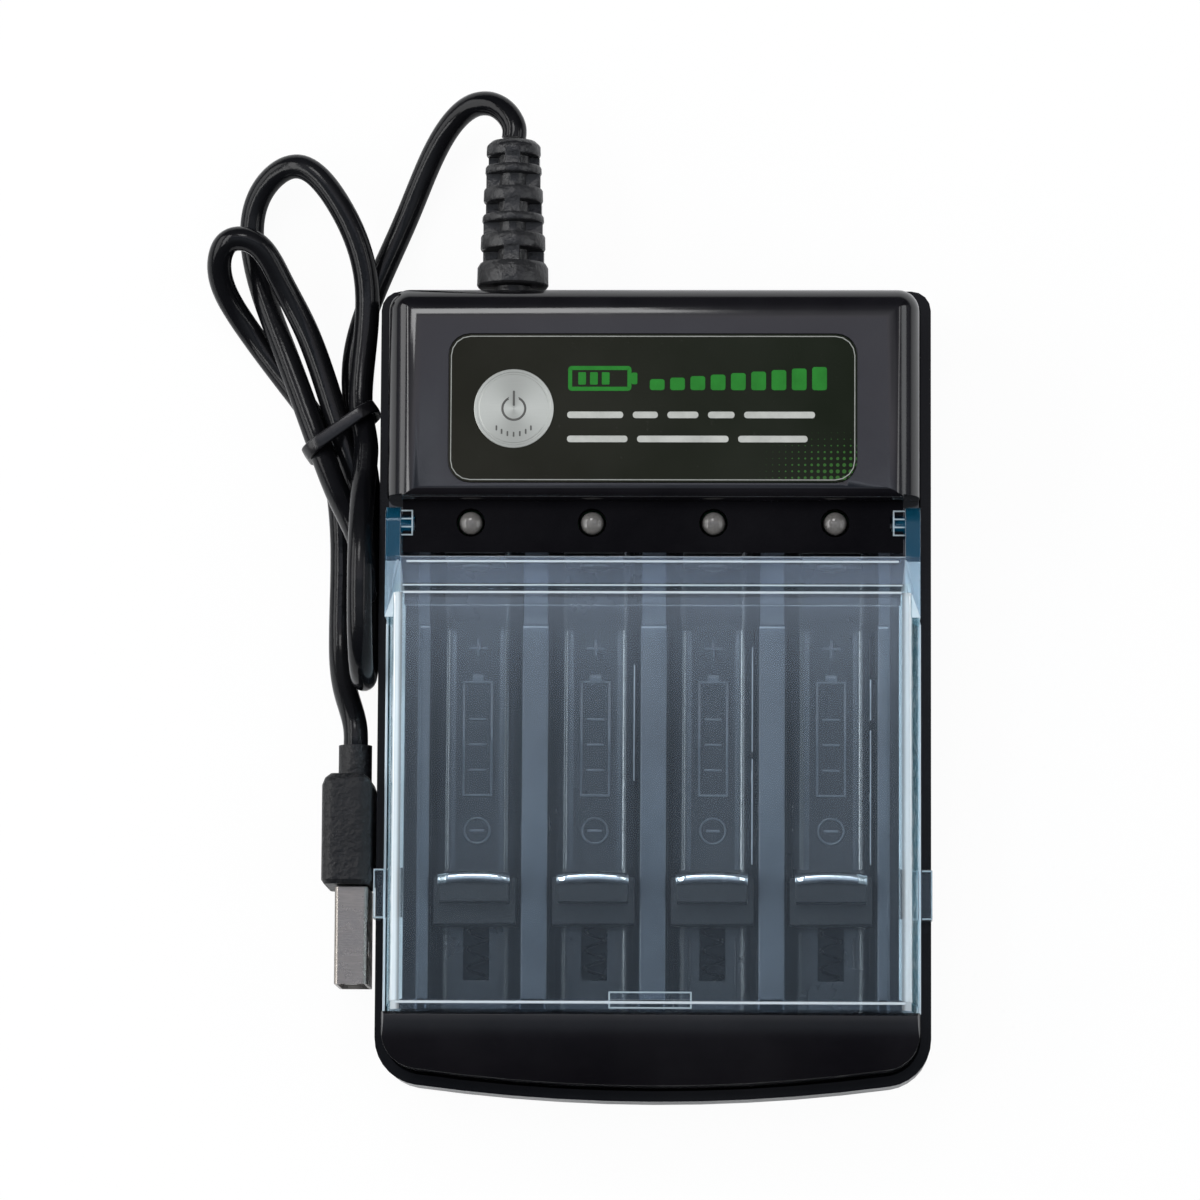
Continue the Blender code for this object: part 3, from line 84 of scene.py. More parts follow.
def feed(socket, value):
    """Gives an input a number, a colour or another node's output."""
    if isinstance(value, bpy.types.NodeSocket):
        socket.id_data.links.new(value, socket)
    else:
        socket.default_value = (*value, 1.0) if isinstance(value, tuple) else value


def math_node(nodes, operation, *values, clamp=False):
    node = nodes.new("ShaderNodeMath")
    node.operation = operation
    node.use_clamp = clamp
    for socket, value in zip(node.inputs, values):
        feed(socket, value)
    return node.outputs[0]


def colour_mix(nodes, factor, first, second, blend="MIX"):
    node = nodes.new("ShaderNodeMix")
    node.data_type = "RGBA"
    node.blend_type = blend
    for index, value in ((0, factor), (6, first), (7, second)):
        feed(node.inputs[index], value)
    return node.outputs[2]


def object_place(nodes):
    return nodes.new("ShaderNodeTexCoord").outputs["Object"]


def separated(nodes, vector):
    """The outputs X, Y and Z of a vector."""
    split = nodes.new("ShaderNodeSeparateXYZ")
    feed(split.inputs[0], vector)
    return split.outputs


def noise(nodes, scale, detail, vector, roughness=0.5):
    node = nodes.new("ShaderNodeTexNoise")
    settings = {"Scale": scale, "Detail": detail, "Vector": vector, "Roughness": roughness}
    for label, value in settings.items():
        feed(node.inputs[label], value)
    return node.outputs["Fac"]


grain, given, result = effect(
    "moulded grain",
    [("Grain Scale", "NodeSocketFloat", 2500.0), ("Ripple Scale", "NodeSocketFloat", 160.0),
     ("Grain Share", "NodeSocketFloat", 0.5)],
    [("Height", "NodeSocketFloat")],
)
place = object_place(grain.nodes)
fine = noise(grain.nodes, given.outputs["Grain Scale"], 3.0, place)
broad = noise(grain.nodes, given.outputs["Ripple Scale"], 1.0, place)
grain_part = math_node(grain.nodes, "MULTIPLY", fine, given.outputs["Grain Share"])
broad_share = math_node(grain.nodes, "SUBTRACT", 1.0, given.outputs["Grain Share"])
broad_part = math_node(grain.nodes, "MULTIPLY", broad, broad_share)
grain.links.new(math_node(grain.nodes, "ADD", grain_part, broad_part), result.inputs["Height"])

handling, given, result = effect(
    "handling marks",
    [("Clean", "NodeSocketFloat", 0.15), ("Dulled", "NodeSocketFloat", 0.3),
     ("Patch Scale", "NodeSocketFloat", 60.0)],
    [("Roughness", "NodeSocketFloat"), ("Dulled Mask", "NodeSocketFloat")],
)
place = object_place(handling.nodes)
patch = noise(handling.nodes, given.outputs["Patch Scale"], 6.0, place, 0.62)
patch = math_node(handling.nodes, "MULTIPLY_ADD", patch, 3.2, -1.25, clamp=True)
span = math_node(handling.nodes, "SUBTRACT", given.outputs["Dulled"], given.outputs["Clean"])
handling.links.new(
    math_node(handling.nodes, "MULTIPLY_ADD", patch, span, given.outputs["Clean"]),
    result.inputs["Roughness"],
)
handling.links.new(patch, result.inputs["Dulled Mask"])

dust, given, result = effect(
    "dust specks",
    [("Surface", "NodeSocketColor", (0, 0, 0, 1)), ("Dust", "NodeSocketColor", (0.35, 0.34, 0.32, 1)),
     ("Amount", "NodeSocketFloat", 0.1), ("Speck Scale", "NodeSocketFloat", 900.0)],
    [("Color", "NodeSocketColor")],
)
place = object_place(dust.nodes)
specks = noise(dust.nodes, given.outputs["Speck Scale"], 2.0, place, 0.7)
specks = math_node(dust.nodes, "MULTIPLY_ADD", specks, 9.0, -6.1, clamp=True)
film = noise(dust.nodes, 45.0, 4.0, place)
film = math_node(dust.nodes, "MULTIPLY_ADD", film, 2.0, -0.7, clamp=True)
spread = math_node(dust.nodes, "MULTIPLY_ADD", specks, 0.8, film)
spread = math_node(dust.nodes, "MULTIPLY", spread, given.outputs["Amount"], clamp=True)
dust.links.new(
    colour_mix(dust.nodes, spread, given.outputs["Surface"], given.outputs["Dust"]),
    result.inputs["Color"],
)


def group_node(nodes, tree, **values):
    node = nodes.new("ShaderNodeGroup")
    node.node_tree = tree
    for label, value in values.items():
        feed(node.inputs[label.replace("_", " ")], value)
    return node


def bare_material(name):
    """A material with only its Principled shader, which carries the plain settings."""
    look = bpy.data.materials.new(name)
    look.use_nodes = True
    shader = look.node_tree.nodes["Principled BSDF"]
    return look, look.node_tree.nodes, look.node_tree.links, shader


def worn(nodes, shader, clean, dulled, patch_scale):
    """Gives a shader its handling marks, and returns the mask of the dulled patches."""
    marks = group_node(nodes, handling, Clean=clean, Dulled=dulled, Patch_Scale=patch_scale)
    feed(shader.inputs["Roughness"], marks.outputs["Roughness"])
    return marks.outputs["Dulled Mask"]


def bumped(nodes, shader, height, distance):
    relief = nodes.new("ShaderNodeBump")
    relief.inputs["Strength"].default_value = 1.0
    relief.inputs["Distance"].default_value = distance
    feed(relief.inputs["Height"], height)
    feed(shader.inputs["Normal"], relief.outputs["Normal"])


def moulding(
    name, colour, clean, dulled, bump, grain_share=0.5, grain_scale=2500.0, dusty=0.06,
    ripple=160.0, sheen=0.5,
):
    """A moulded plastic or rubber: slight unevenness, handling marks and a little dust."""
    look, nodes, links, shader = bare_material(name)
    lighter = tuple(min(1.0, c * 1.5 + 0.002) for c in colour)
    tone = colour_mix(nodes, worn(nodes, shader, clean, dulled, 55.0), colour, lighter)
    specks = group_node(nodes, dust, Surface=tone, Amount=dusty, Speck_Scale=900.0)
    skin = group_node(nodes, grain, Grain_Scale=grain_scale, Ripple_Scale=ripple, Grain_Share=grain_share)
    shader.inputs["Specular IOR Level"].default_value = sheen
    links.new(specks.outputs["Color"], shader.inputs["Base Color"])
    bumped(nodes, shader, skin.outputs["Height"], bump)
    return look


# Cord. One run of round, limp, black rubbery cord, 400 mm long: an arch out of the strain
# relief, turns beside the case that the tie holds, and the last pass to the plug.
CORD_ROUTE = (
    (-19.8, 77.3, 12.0), (-19.8, 79.0, 11.8), (-21.9, 82.0, 10.5), (-25.8, 82.7, 8.0),
    (-30.4, 78.4, 4.6), (-34.9, 68.6, 2.1), (-39.2, 58.6, 1.9), (-42.3, 48.0, 2.0),
    (-41.6, 38.0, 3.2), (-40.2, 29.5, 1.9), (-40.0, 20.0, 1.8), (-40.0, 10.6, 2.0),
    (-40.0, 4.4, 5.0), (-40.0, 2.0, 11.4), (-40.0, 4.8, 17.8), (-40.0, 11.4, 20.8),
    (-40.0, 19.8, 20.2), (-40.0, 28.4, 15.2), (-40.1, 35.0, 9.6), (-41.1, 41.4, 6.8),
    (-40.4, 57.0, 5.8), (-44.4, 69.0, 6.8), (-50.2, 74.5, 6.2), (-55.6, 71.2, 3.4),
    (-56.6, 62.5, 1.9), (-51.6, 47.8, 5.2), (-47.2, 36.2, 7.1), (-42.9, 25.8, 12.2),
    (-40.0, 18.8, 15.4), (-40.0, 13.9, 10.8), (-40.0, 18.4, 6.0), (-41.2, 28.5, 5.8),
    (-44.0, 37.6, 6.1), (-48.6, 50.8, 6.0), (-52.3, 58.0, 7.4), (-55.8, 63.0, 9.4),
    (-59.4, 63.4, 9.2), (-61.0, 59.6, 6.4), (-58.2, 53.4, 2.6), (-51.2, 44.0, 1.9),
    (-46.2, 36.2, 3.2), (-43.8, 23.0, 1.9), (-43.8, 8.0, 2.0), (-42.9, 1.0, 4.9),
    (-41.3, -4.3, 7.85), (-41.2, -7.8, 8.0),
)
CORD_DIAMETER = 3.4 * MM
CORD_REST_Z = 1.75 * MM
CORD_INNER_X = -39.95 * MM
CASE_REAR = 56.0


def cord_line(route, substeps):
    """A natural cubic spline through the route, resting on the table and beside the case."""
    route = np.array(route) * MM
    pace = np.linalg.norm(np.diff(route, axis=0), axis=1) ** 0.6
    count = len(route)
    system = np.eye(count)
    given = np.zeros((count, 3))
    for i in range(1, count - 1):
        system[i, i - 1 : i + 2] = (pace[i - 1], 2 * (pace[i - 1] + pace[i]), pace[i])
        given[i] = 6 * ((route[i + 1] - route[i]) / pace[i] - (route[i] - route[i - 1]) / pace[i - 1])
    bend = np.linalg.solve(system, given)
    line = []
    for i in range(count - 1):
        for j in range(substeps):
            b = j / substeps
            a = 1 - b
            point = a * route[i] + b * route[i + 1]
            line.append(point + ((a**3 - a) * bend[i] + (b**3 - b) * bend[i + 1]) * pace[i] ** 2 / 6)
    line = np.array(line + [route[-1]])
    line[:, 2] = np.maximum(line[:, 2], CORD_REST_Z)
    beside = line[:, 1] < CASE_REAR * MM
    line[beside, 0] = np.minimum(line[beside, 0], CORD_INNER_X)
    line[-1] = route[-1]
    return line


cord_data = bpy.data.curves.new("charging_cord", "CURVE")
cord_data.dimensions = "3D"
cord_data.bevel_depth = CORD_DIAMETER / 2
cord_data.bevel_resolution = 7
cord_data.use_fill_caps = True
run = cord_line(CORD_ROUTE, 12)
spline = cord_data.splines.new("POLY")
spline.points.add(len(run) - 1)
spline.points.foreach_set("co", np.column_stack((run, np.ones(len(run)))).ravel())
spline.use_smooth = True
cord_piece = bpy.data.objects.new("charging_cord", cord_data)
scene.collection.objects.link(cord_piece)
cord_data.materials.append(
    moulding("cord jacket", (0.0026, 0.0028, 0.0036), 0.12, 0.20, 0.00005, 0.35, 1800.0, 0.012, 500.0, 0.20)
)
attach(cord_piece, "housing")
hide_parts("cord")


# Stage. A pale table top and a white surround. The camera sees both near white, with the
# table's soft shadow kept, and the lamps stay at a plain level.
def rest():
    """Leaves edit mode and clears the selection before the next step."""
    if bpy.context.object and bpy.context.object.mode != "OBJECT":
        bpy.ops.object.mode_set(mode="OBJECT")
    bpy.ops.object.select_all(action="DESELECT")


def named(name):
    piece = bpy.context.object
    piece.name = name
    piece.data.name = name
    return piece


def ramp_between(nodes, value, low, high, start, end):
    """A smooth step from start to end while the value goes from low to high."""
    node = nodes.new("ShaderNodeMapRange")
    node.interpolation_type = "SMOOTHSTEP"
    settings = {"Value": value, "From Min": low, "From Max": high, "To Min": start, "To Max": end}
    for label, number in settings.items():
        feed(node.inputs[label], number)
    return node.outputs["Result"]


def length_of(nodes, vector):
    node = nodes.new("ShaderNodeVectorMath")
    node.operation = "LENGTH"
    feed(node.inputs[0], vector)
    return node.outputs["Value"]


def surface_mix(nodes, share, first, second):
    """Covers a material's surface with two shaders, the second by this share."""
    mixer = nodes.new("ShaderNodeMixShader")
    for socket, value in zip(mixer.inputs, (share, first.outputs[0], second.outputs[0])):
        feed(socket, value)
    feed(nodes["Material Output"].inputs["Surface"], mixer.outputs[0])


rest()
bpy.ops.mesh.primitive_plane_add(size=5.0)
table_top = named("table_top")
look, nodes, links, shader = bare_material("table white")
path = nodes.new("ShaderNodeLightPath")
seen = math_node(nodes, "MAXIMUM", path.outputs["Is Camera Ray"], path.outputs["Is Transmission Ray"])
glow = nodes.new("ShaderNodeEmission")
glow.inputs["Strength"].default_value = 1.0
sweep = ramp_between(nodes, length_of(nodes, object_place(nodes)), 0.10, 0.42, 0.0, 1.0)
paper = colour_mix(nodes, sweep, (0.9, 0.9, 0.9), (0.10, 0.10, 0.11))
links.new(paper, shader.inputs["Base Color"])
shader.inputs["Roughness"].default_value = 0.8
shader.inputs["Specular IOR Level"].default_value = 0.0
surface_mix(nodes, math_node(nodes, "MULTIPLY", seen, 0.95), shader, glow)
table_top.data.materials.append(look)

world = bpy.data.worlds.new("studio")
scene.world = world
world.use_nodes = True
nodes, links = world.node_tree.nodes, world.node_tree.links
background = nodes["Background"]
sky = separated(nodes, nodes.new("ShaderNodeTexCoord").outputs["Generated"])
card = nodes.new("ShaderNodeValToRGB")
card.color_ramp.interpolation = "EASE"
stops = (
    (-1.0, (0.016, 0.016, 0.02)), (-0.70, (0.04, 0.04, 0.05)), (-0.34, (0.20, 0.225, 0.26)),
    (-0.20, (0.42, 0.44, 0.49)), (0.0, (0.26, 0.30, 0.36)), (0.06, (0.13, 0.17, 0.23)),
    (0.09, (0.32, 0.36, 0.43)), (0.103, (0.45, 0.50, 0.58)), (0.115, (1.05, 1.14, 1.30)),
    (0.1235, (2.3, 2.45, 2.75)), (0.129, (0.62, 0.65, 0.75)), (0.14, (0.50, 0.51, 0.63)),
    (0.17, (0.74, 0.73, 0.84)), (0.24, (0.76, 0.74, 0.82)), (0.36, (0.46, 0.46, 0.50)),
    (0.60, (0.14, 0.14, 0.16)), (1.0, (0.05, 0.05, 0.06)),
)
while len(card.color_ramp.elements) < len(stops):
    card.color_ramp.elements.new(0.5)
for element, (height, colour) in zip(card.color_ramp.elements, stops):
    element.position = (height + 1) / 2
    element.color = (*colour, 1.0)
links.new(math_node(nodes, "MULTIPLY_ADD", sky["Y"], 0.5, 0.5), card.inputs["Fac"])
to_side = math_node(nodes, "ABSOLUTE", sky["X"])
side_fall = ramp_between(nodes, to_side, 0.25, 0.75, 1.60, 0.36)
level = colour_mix(nodes, 1.0, card.outputs["Color"], side_fall, "MULTIPLY")
path = nodes.new("ShaderNodeLightPath")
level = colour_mix(nodes, path.outputs["Is Diffuse Ray"], level, (0.55, 0.56, 0.58))
level = colour_mix(nodes, path.outputs["Is Camera Ray"], level, (1.0, 1.0, 1.0))
links.new(level, background.inputs["Color"])


def softbox(name, place, aim, width, height, power, tint=(1, 1, 1)):
    lamp = bpy.data.lights.new(name, "AREA")
    lamp.shape = "RECTANGLE"
    lamp.size = width
    lamp.size_y = height
    lamp.energy = power
    lamp.color = tint
    holder = bpy.data.objects.new(name, lamp)
    scene.collection.objects.link(holder)
    holder.location = place
    holder.rotation_euler = (Vector(aim) - Vector(place)).to_track_quat("-Z", "Y").to_euler()
    holder.visible_camera = False
    return holder


softbox("left_box", (-0.80, 0.06, 0.34), (0, 0.02, 0.01), 0.95, 0.32, 2.8)
softbox("left_strip", (-0.60, 0.05, 0.62), (0, 0.02, 0.01), 0.90, 0.15, 2.6)
softbox("right_strip", (0.60, 0.03, 0.62), (0, 0.0, 0.01), 0.70, 0.12, 0.8)
softbox("right_box", (0.85, 0.02, 0.40), (0, 0.0, 0.01), 0.80, 0.30, 1.6, (0.96, 0.99, 1.0))
softbox("spark", (-0.12, 0.50, 0.85), (0, 0, 0), 0.26, 0.22, 1.3)


# Shell finish. Both halves of the case are injection moulded in black ABS, the upper one
# polished. A moulded copy has its facets rejoined and its edges rounded as the tool leaves them.
def activate(piece):
    """Selects one piece alone, ready for an operator."""
    rest()
    piece.select_set(True)
    bpy.context.view_layer.objects.active = piece


def select_whole():
    bpy.ops.mesh.select_all(action="SELECT")


def edit_whole(piece):
    activate(piece)
    bpy.ops.object.mode_set(mode="EDIT")
    select_whole()


def set_transform():
    bpy.ops.object.transform_apply(location=True, rotation=True, scale=True)


def apply_modifier(piece, kind, **settings):
    activate(piece)
    modifier = piece.modifiers.new(kind.title(), kind)
    for label, value in settings.items():
        setattr(modifier, label, value)
    bpy.ops.object.modifier_apply(modifier=modifier.name)


def bevelled(piece, width, steps, degrees, **settings):
    apply_modifier(
        piece, "BEVEL", width=width, segments=steps, limit_method="ANGLE",
        angle_limit=math.radians(degrees), **settings,
    )


def smooth_by_angle(piece, degrees):
    activate(piece)
    bpy.ops.object.shade_smooth_by_angle(angle=math.radians(degrees))


def rejoined_copy(node, name):
    """A copy of a CAD body, its loose triangles merged and its flat faces rejoined."""
    piece = bpy.data.objects.new(name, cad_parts[node].data.copy())
    piece.data.name = name
    piece.data.materials.clear()
    scene.collection.objects.link(piece)
    edit_whole(piece)
    bpy.ops.mesh.remove_doubles(threshold=2e-6)
    bpy.ops.mesh.dissolve_limited(angle_limit=math.radians(0.6))
    rest()
    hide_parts(node)
    return piece


def cleaned(piece):
    """Takes the slivers that a cut leaves out of a mesh."""
    edit_whole(piece)
    bpy.ops.mesh.remove_doubles(threshold=1e-5)
    bpy.ops.mesh.dissolve_degenerate(threshold=2e-5)
    bpy.ops.mesh.dissolve_limited(angle_limit=math.radians(0.6))
    rest()


def round_edges(piece, radius, steps, edge_angle):
    """Breaks concave faces up, rounds the moulded edges and evens the shading."""
    edit_whole(piece)
    bpy.ops.mesh.vert_connect_concave()
    rest()
    if radius:
        bevelled(piece, radius, steps, edge_angle, miter_outer="MITER_ARC", use_clamp_overlap=True)
    smooth_by_angle(piece, 35)
    apply_modifier(piece, "WEIGHTED_NORMAL", keep_sharp=True, weight=80)


def moulded_copy(node, name, radius, steps=3, edge_angle=28, look=None, body="housing"):
    piece = rejoined_copy(node, name)
    round_edges(piece, radius, steps, edge_angle)
    piece.data.materials.append(look)
    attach(piece, body)
    return piece


def normals_outward():
    select_whole()
    bpy.ops.mesh.normals_make_consistent(inside=False)
    rest()


def block(name, low, high):
    """A plain starting block between two corners, in millimetres."""
    rest()
    centre = [(a + b) / 2 * MM for a, b in zip(low, high)]
    bpy.ops.mesh.primitive_cube_add(size=1.0, location=centre)
    piece = named(name)
    piece.scale = [(b - a) * MM for a, b in zip(low, high)]
    set_transform()
    return piece


def rolled_block(name, half_width, front, rear, top, corner, roll, steps=14):
    """A block with round plan corners whose walls roll over into its flat top."""
    levels = [(0.0, 0.0)]
    for j in range(steps + 1):
        turn = math.pi / 2 * j / steps
        levels.append((roll * (1 - math.cos(turn)), top - roll + roll * math.sin(turn)))
    around = []
    for sign_x, sign_y, start in ((1, 1, 0), (-1, 1, 90), (-1, -1, 180), (1, -1, 270)):
        around += [(sign_x, sign_y, math.radians(start + 90 * j / 8)) for j in range(9)]
    around.append(around[0])
    rest()
    bpy.ops.mesh.primitive_grid_add(
        x_subdivisions=len(around) - 1, y_subdivisions=len(levels) - 1, size=1.0
    )
    piece = named(name)
    for vertex in piece.data.vertices:
        sign_x, sign_y, turn = around[round((vertex.co.x + 0.5) * (len(around) - 1))]
        inset, height = levels[round((vertex.co.y + 0.5) * (len(levels) - 1))]
        radius = max(corner - inset, 0.0)
        reach_x = sign_x * (half_width - inset - radius) + radius * math.cos(turn)
        reach_y = (rear - inset - radius if sign_y > 0 else front + inset + radius) + radius * math.sin(turn)
        vertex.co = (reach_x * MM, reach_y * MM, height * MM)
    edit_whole(piece)
    bpy.ops.mesh.remove_doubles(threshold=1e-6)
    select_whole()
    bpy.ops.mesh.fill_holes(sides=0)
    normals_outward()
    return piece


def boolean(piece, other, operation):
    apply_modifier(piece, "BOOLEAN", operation=operation, solver="EXACT", object=other)
    bpy.data.objects.remove(other)


gloss_black = moulding(
    "gloss black", (0.0026, 0.0024, 0.0034), 0.09, 0.16, 0.00002, 0.08, dusty=0.010, ripple=90.0
)
base_black = moulding(
    "base black", (0.0022, 0.0022, 0.0030), 0.14, 0.24, 0.00003, 0.2, dusty=0.008, ripple=90.0, sheen=0.12
)
# Painted shade: the LED strip gets a darker copy of the shell black with almost no specular, so that it
# renders dark as if in shade.
shaded_strip_black = moulding(
    "strip black painted shade", (0.0014, 0.0013, 0.0022), 0.42, 0.52, 0.00005, 0.7, 2600.0, 0.004, sheen=0.03
)
# Painted light and shade: the bay is moulded in the same black as the shell, but its groove floors get a
# dark grey copy and its rib tops a much lighter grey one, so that the ribs read lit and the grooves shaded.
shaded_groove_black = moulding("groove black painted shade", (0.0075, 0.0085, 0.0105), 0.16, 0.26, 0.00003, 0.4, 2200.0, 0.02)
lit_rib_black = moulding("rib black painted light", (0.046, 0.052, 0.063), 0.12, 0.20, 0.00002, 0.1, 2200.0, 0.02)
moulded_copy("lower_shell", "base_case", 0.30 * MM, look=base_black)
top_case = rejoined_copy("upper_shell", "top_case")
head_form = rolled_block("head_form", 36.2, 5.0, 54.2, 26.94, 2.9, 4.6)
waste = block("waste", (-45.0, 24.5, 11.05), (45.0, 60.0, 40.0))
boolean(waste, head_form, "DIFFERENCE")
boolean(top_case, waste, "DIFFERENCE")
cleaned(top_case)
round_edges(top_case, 0.30 * MM, 3, 28)
top_case.data.materials.append(gloss_black)
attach(top_case, "housing")
# Painted shade: the bay's sloping walls get the darkest copy of the black.
shaded_wall_black = moulding(
    "wall black painted shade", (0.002, 0.0024, 0.003), 0.20, 0.30, 0.00003, 0.3, 2200.0, 0.005, sheen=0.25
)
# Painted highlight: a pale grey copy of the black with full specular, given to the bay's long narrow edge
# faces so that they show as glints.
glint_painted_black = moulding(
    "edge black painted glint", (0.045, 0.051, 0.060), 0.08, 0.14, 0.00001, 0.1, 2200.0, 0.01, sheen=1.0
)
for look in (shaded_strip_black, shaded_groove_black, lit_rib_black, shaded_wall_black, glint_painted_black):
    top_case.data.materials.append(look)
STRIP, GROOVE, RIB, WALL, EDGE = range(1, 6)
# Each bay face takes one of these painted copies by where it lies and which way it faces: the strip shaded,
# long narrow faces the painted glint, sloping walls shaded, rib tops lit and groove floors shaded.
for face in top_case.data.polygons:
    x, y, z = (c / MM for c in face.center)
    facing_up = face.normal.z > 0.7
    if facing_up and 17.9 < y < 25.0 and 23.3 < z < 23.8:
        face.material_index = STRIP
    elif abs(x) < 34.2 and -44.5 < y < 17.9 and z < 13.0 and face.normal.z > -0.2:
        corners = [top_case.data.vertices[v].co for v in face.vertices]
        run = max(abs(a.y - b.y) for a, b in zip(corners, corners[1:] + corners[:1]))
        if run > 8 * MM and face.area < run * 0.22 * MM and face.normal.z > 0.25:
            face.material_index = EDGE
        elif face.normal.z < 0.75:
            face.material_index = WALL
        else:
            face.material_index = RIB if z > 12.4 else GROOVE

# Rubber feet. Four turned discs of black rubber, glued in the recesses of the base so that
# the charger doesn't slide on the table.
foot_rubber = moulding("foot rubber", (0.013, 0.013, 0.013), 0.55, 0.72, 0.00012, 0.8, 1400.0, 0.2)
for i in range(1, 5):
    moulded_copy(f"foot_{i}", f"rubber_foot_{i}", 0.15 * MM, 2, 40, foot_rubber)

# Contacts, bus, springs and screws. The contacts are pressed from nickel-plated spring steel,
# with sheared edges; the springs are wound music wire, and the screws zinc-plated steel.
def mapped(nodes, vector, setting, value):
    """A vector that is moved by its Location or stretched by its Scale."""
    node = nodes.new("ShaderNodeMapping")
    node.inputs[setting].default_value = value
    feed(node.inputs["Vector"], vector)
    return node.outputs["Vector"]


def metal(name, colour, clean, dulled, stretch, bump):
    """Plated or drawn metal: rolling lines along one direction, and handling marks."""
    look, nodes, links, shader = bare_material(name)
    lines = noise(nodes, 1.0, 4.0, mapped(nodes, object_place(nodes), "Scale", stretch), 0.6)
    worn(nodes, shader, clean, dulled, 240.0)
    shade = tuple(c * 0.72 for c in colour)
    tone = colour_mix(nodes, math_node(nodes, "MULTIPLY_ADD", lines, 1.6, -0.3, clamp=True), shade, colour)
    links.new(tone, shader.inputs["Base Color"])
    shader.inputs["Metallic"].default_value = 1.0
    bumped(nodes, shader, lines, bump)
    return look


nickel = metal("nickel plate", (0.80, 0.79, 0.76), 0.16, 0.30, (9000, 500, 500), 0.000008)
bright_nickel = metal("bright nickel", (0.92, 0.93, 0.93), 0.10, 0.20, (9000, 500, 500), 0.000006)
PLATE_PROFILE = (
    (0.0, 10.8), (0.0, 13.5), (0.0, 16.1), (-0.10, 16.62), (-0.36, 16.93), (-0.74, 17.0),
    (-1.12, 16.93), (-1.34, 16.66), (-1.38, 16.3),
)
PLATE_HALF_WIDTH, PLATE_GAUGE, PLATE_BOW = 4.9, 0.34, 0.36
# Painted shade: the positive contacts' nickel and the springs' wire get much darker copies of their metal,
# for the shade they sit in within the bay.
shaded_nickel = metal("nickel painted shade", (0.24, 0.24, 0.23), 0.34, 0.48, (9000, 500, 500), 0.000006)
shaded_spring_wire = metal("spring wire painted shade", (0.016, 0.016, 0.018), 0.45, 0.58, (3000, 3000, 3000), 0.000006)
zinc = metal("zinc plate", (0.58, 0.60, 0.62), 0.24, 0.40, (1500, 1500, 1500), 0.00001)
for i in range(1, 5):
    moulded_copy(
        f"positive_contact_{i}", f"positive_plate_{i}", 0.08 * MM, 2, 40, shaded_nickel
    )
    low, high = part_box(f"negative_contact_{i}")
    centre_x, face_y = (low.x + high.x) / 2 / MM, high.y / MM
    rest()
    bpy.ops.mesh.primitive_grid_add(x_subdivisions=18, y_subdivisions=len(PLATE_PROFILE) - 1, size=1.0)
    plate = named(f"negative_plate_{i}")
    for vertex in plate.data.vertices:
        u = vertex.co.x * 2
        back_off, height = PLATE_PROFILE[round((vertex.co.y + 0.5) * (len(PLATE_PROFILE) - 1))]
        end_drop = 0.5 if abs(u) > 0.88 and height > 16 else 0.0
        set_back = back_off - PLATE_BOW * u * u
        across_x = centre_x + u * PLATE_HALF_WIDTH
        vertex.co = (across_x * MM, (face_y - 0.2 + set_back) * MM, (height - end_drop) * MM)
    apply_modifier(plate, "SOLIDIFY", thickness=PLATE_GAUGE * MM, offset=0.0)
    bevelled(plate, 0.08 * MM, 2, 50)
    smooth_by_angle(plate, 50)
    plate.data.materials.append(bright_nickel)
    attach(plate, f"slider_{i}")
    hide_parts(f"negative_contact_{i}")
moulded_copy("negative_bus", "bus_strip", 0.06 * MM, 2, 40, nickel)


def refinish(node, look):
    """Gives its finish to a CAD body that is shown as it is."""
    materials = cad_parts[node].data.materials
    materials.clear()
    materials.append(look)


for i in range(1, 5):
    refinish(f"return_spring_{i}", shaded_spring_wire)
    moulded_copy(f"case_screw_{i}", f"base_screw_{i}", 0.10 * MM, 2, 40, zinc)

# Board and wiring. Inside the head are a green board with its soldered parts, and the leads
# from the cord and the bus, insulated in black and red.
for node, colour, clean, dulled in (
    ("circuit_board", (0.02, 0.16, 0.05), 0.30, 0.42),
    ("controller_chip", (0.015, 0.015, 0.017), 0.42, 0.55),
    ("inductor", (0.05, 0.05, 0.055), 0.50, 0.65),
    ("ground_wire", (0.012, 0.012, 0.012), 0.35, 0.50),
    ("lead_black", (0.012, 0.012, 0.012), 0.35, 0.50),
    ("lead_red", (0.38, 0.015, 0.012), 0.35, 0.50),
):
    refinish(node, moulding(node.replace("_", " "), colour, clean, dulled, 0.00003, 0.6, 1500.0, 0.05))
can_metal = metal("capacitor can", (0.72, 0.72, 0.74), 0.25, 0.36, (400, 400, 6000), 0.000006)
for i in (1, 2):
    moulded_copy(f"capacitor_{i}", f"capacitor_can_{i}", 0.20 * MM, 3, 40, can_metal)

# Sliders. Four black moulded blocks carry the negative contacts. Each runs along a slot in
# the tray on its keel, and its spring pushes it back.
slider_black = moulding(
    "slider black", (0.003, 0.0032, 0.004), 0.36, 0.48, 0.00005, 0.7, 2600.0, 0.01, sheen=0.3
)
for i in range(1, 5):
    moulded_copy(
        f"slider_block_{i}", f"slider_{i}_carriage", 0.15 * MM, 2, 35, slider_black,
        f"slider_{i}",
    )

# LEDs. Four round LEDs of cloudy epoxy, soldered to the board, stand up through the holes
# in the dark strip.
look, nodes, links, shader = bare_material("led lens")
dulled = worn(nodes, shader, 0.015, 0.035, 600.0)
tone = colour_mix(nodes, dulled, (0.115, 0.11, 0.105), (0.165, 0.16, 0.15))
links.new(tone, shader.inputs["Base Color"])
shader.inputs["Subsurface Weight"].default_value = 0.5
shader.inputs["Subsurface Radius"].default_value = (0.001, 0.001, 0.0009)
shader.inputs["Subsurface Scale"].default_value = 1.0
for i in range(1, 5):
    moulded_copy(f"led_{i}", f"led_lens_{i}", 0, look=look)


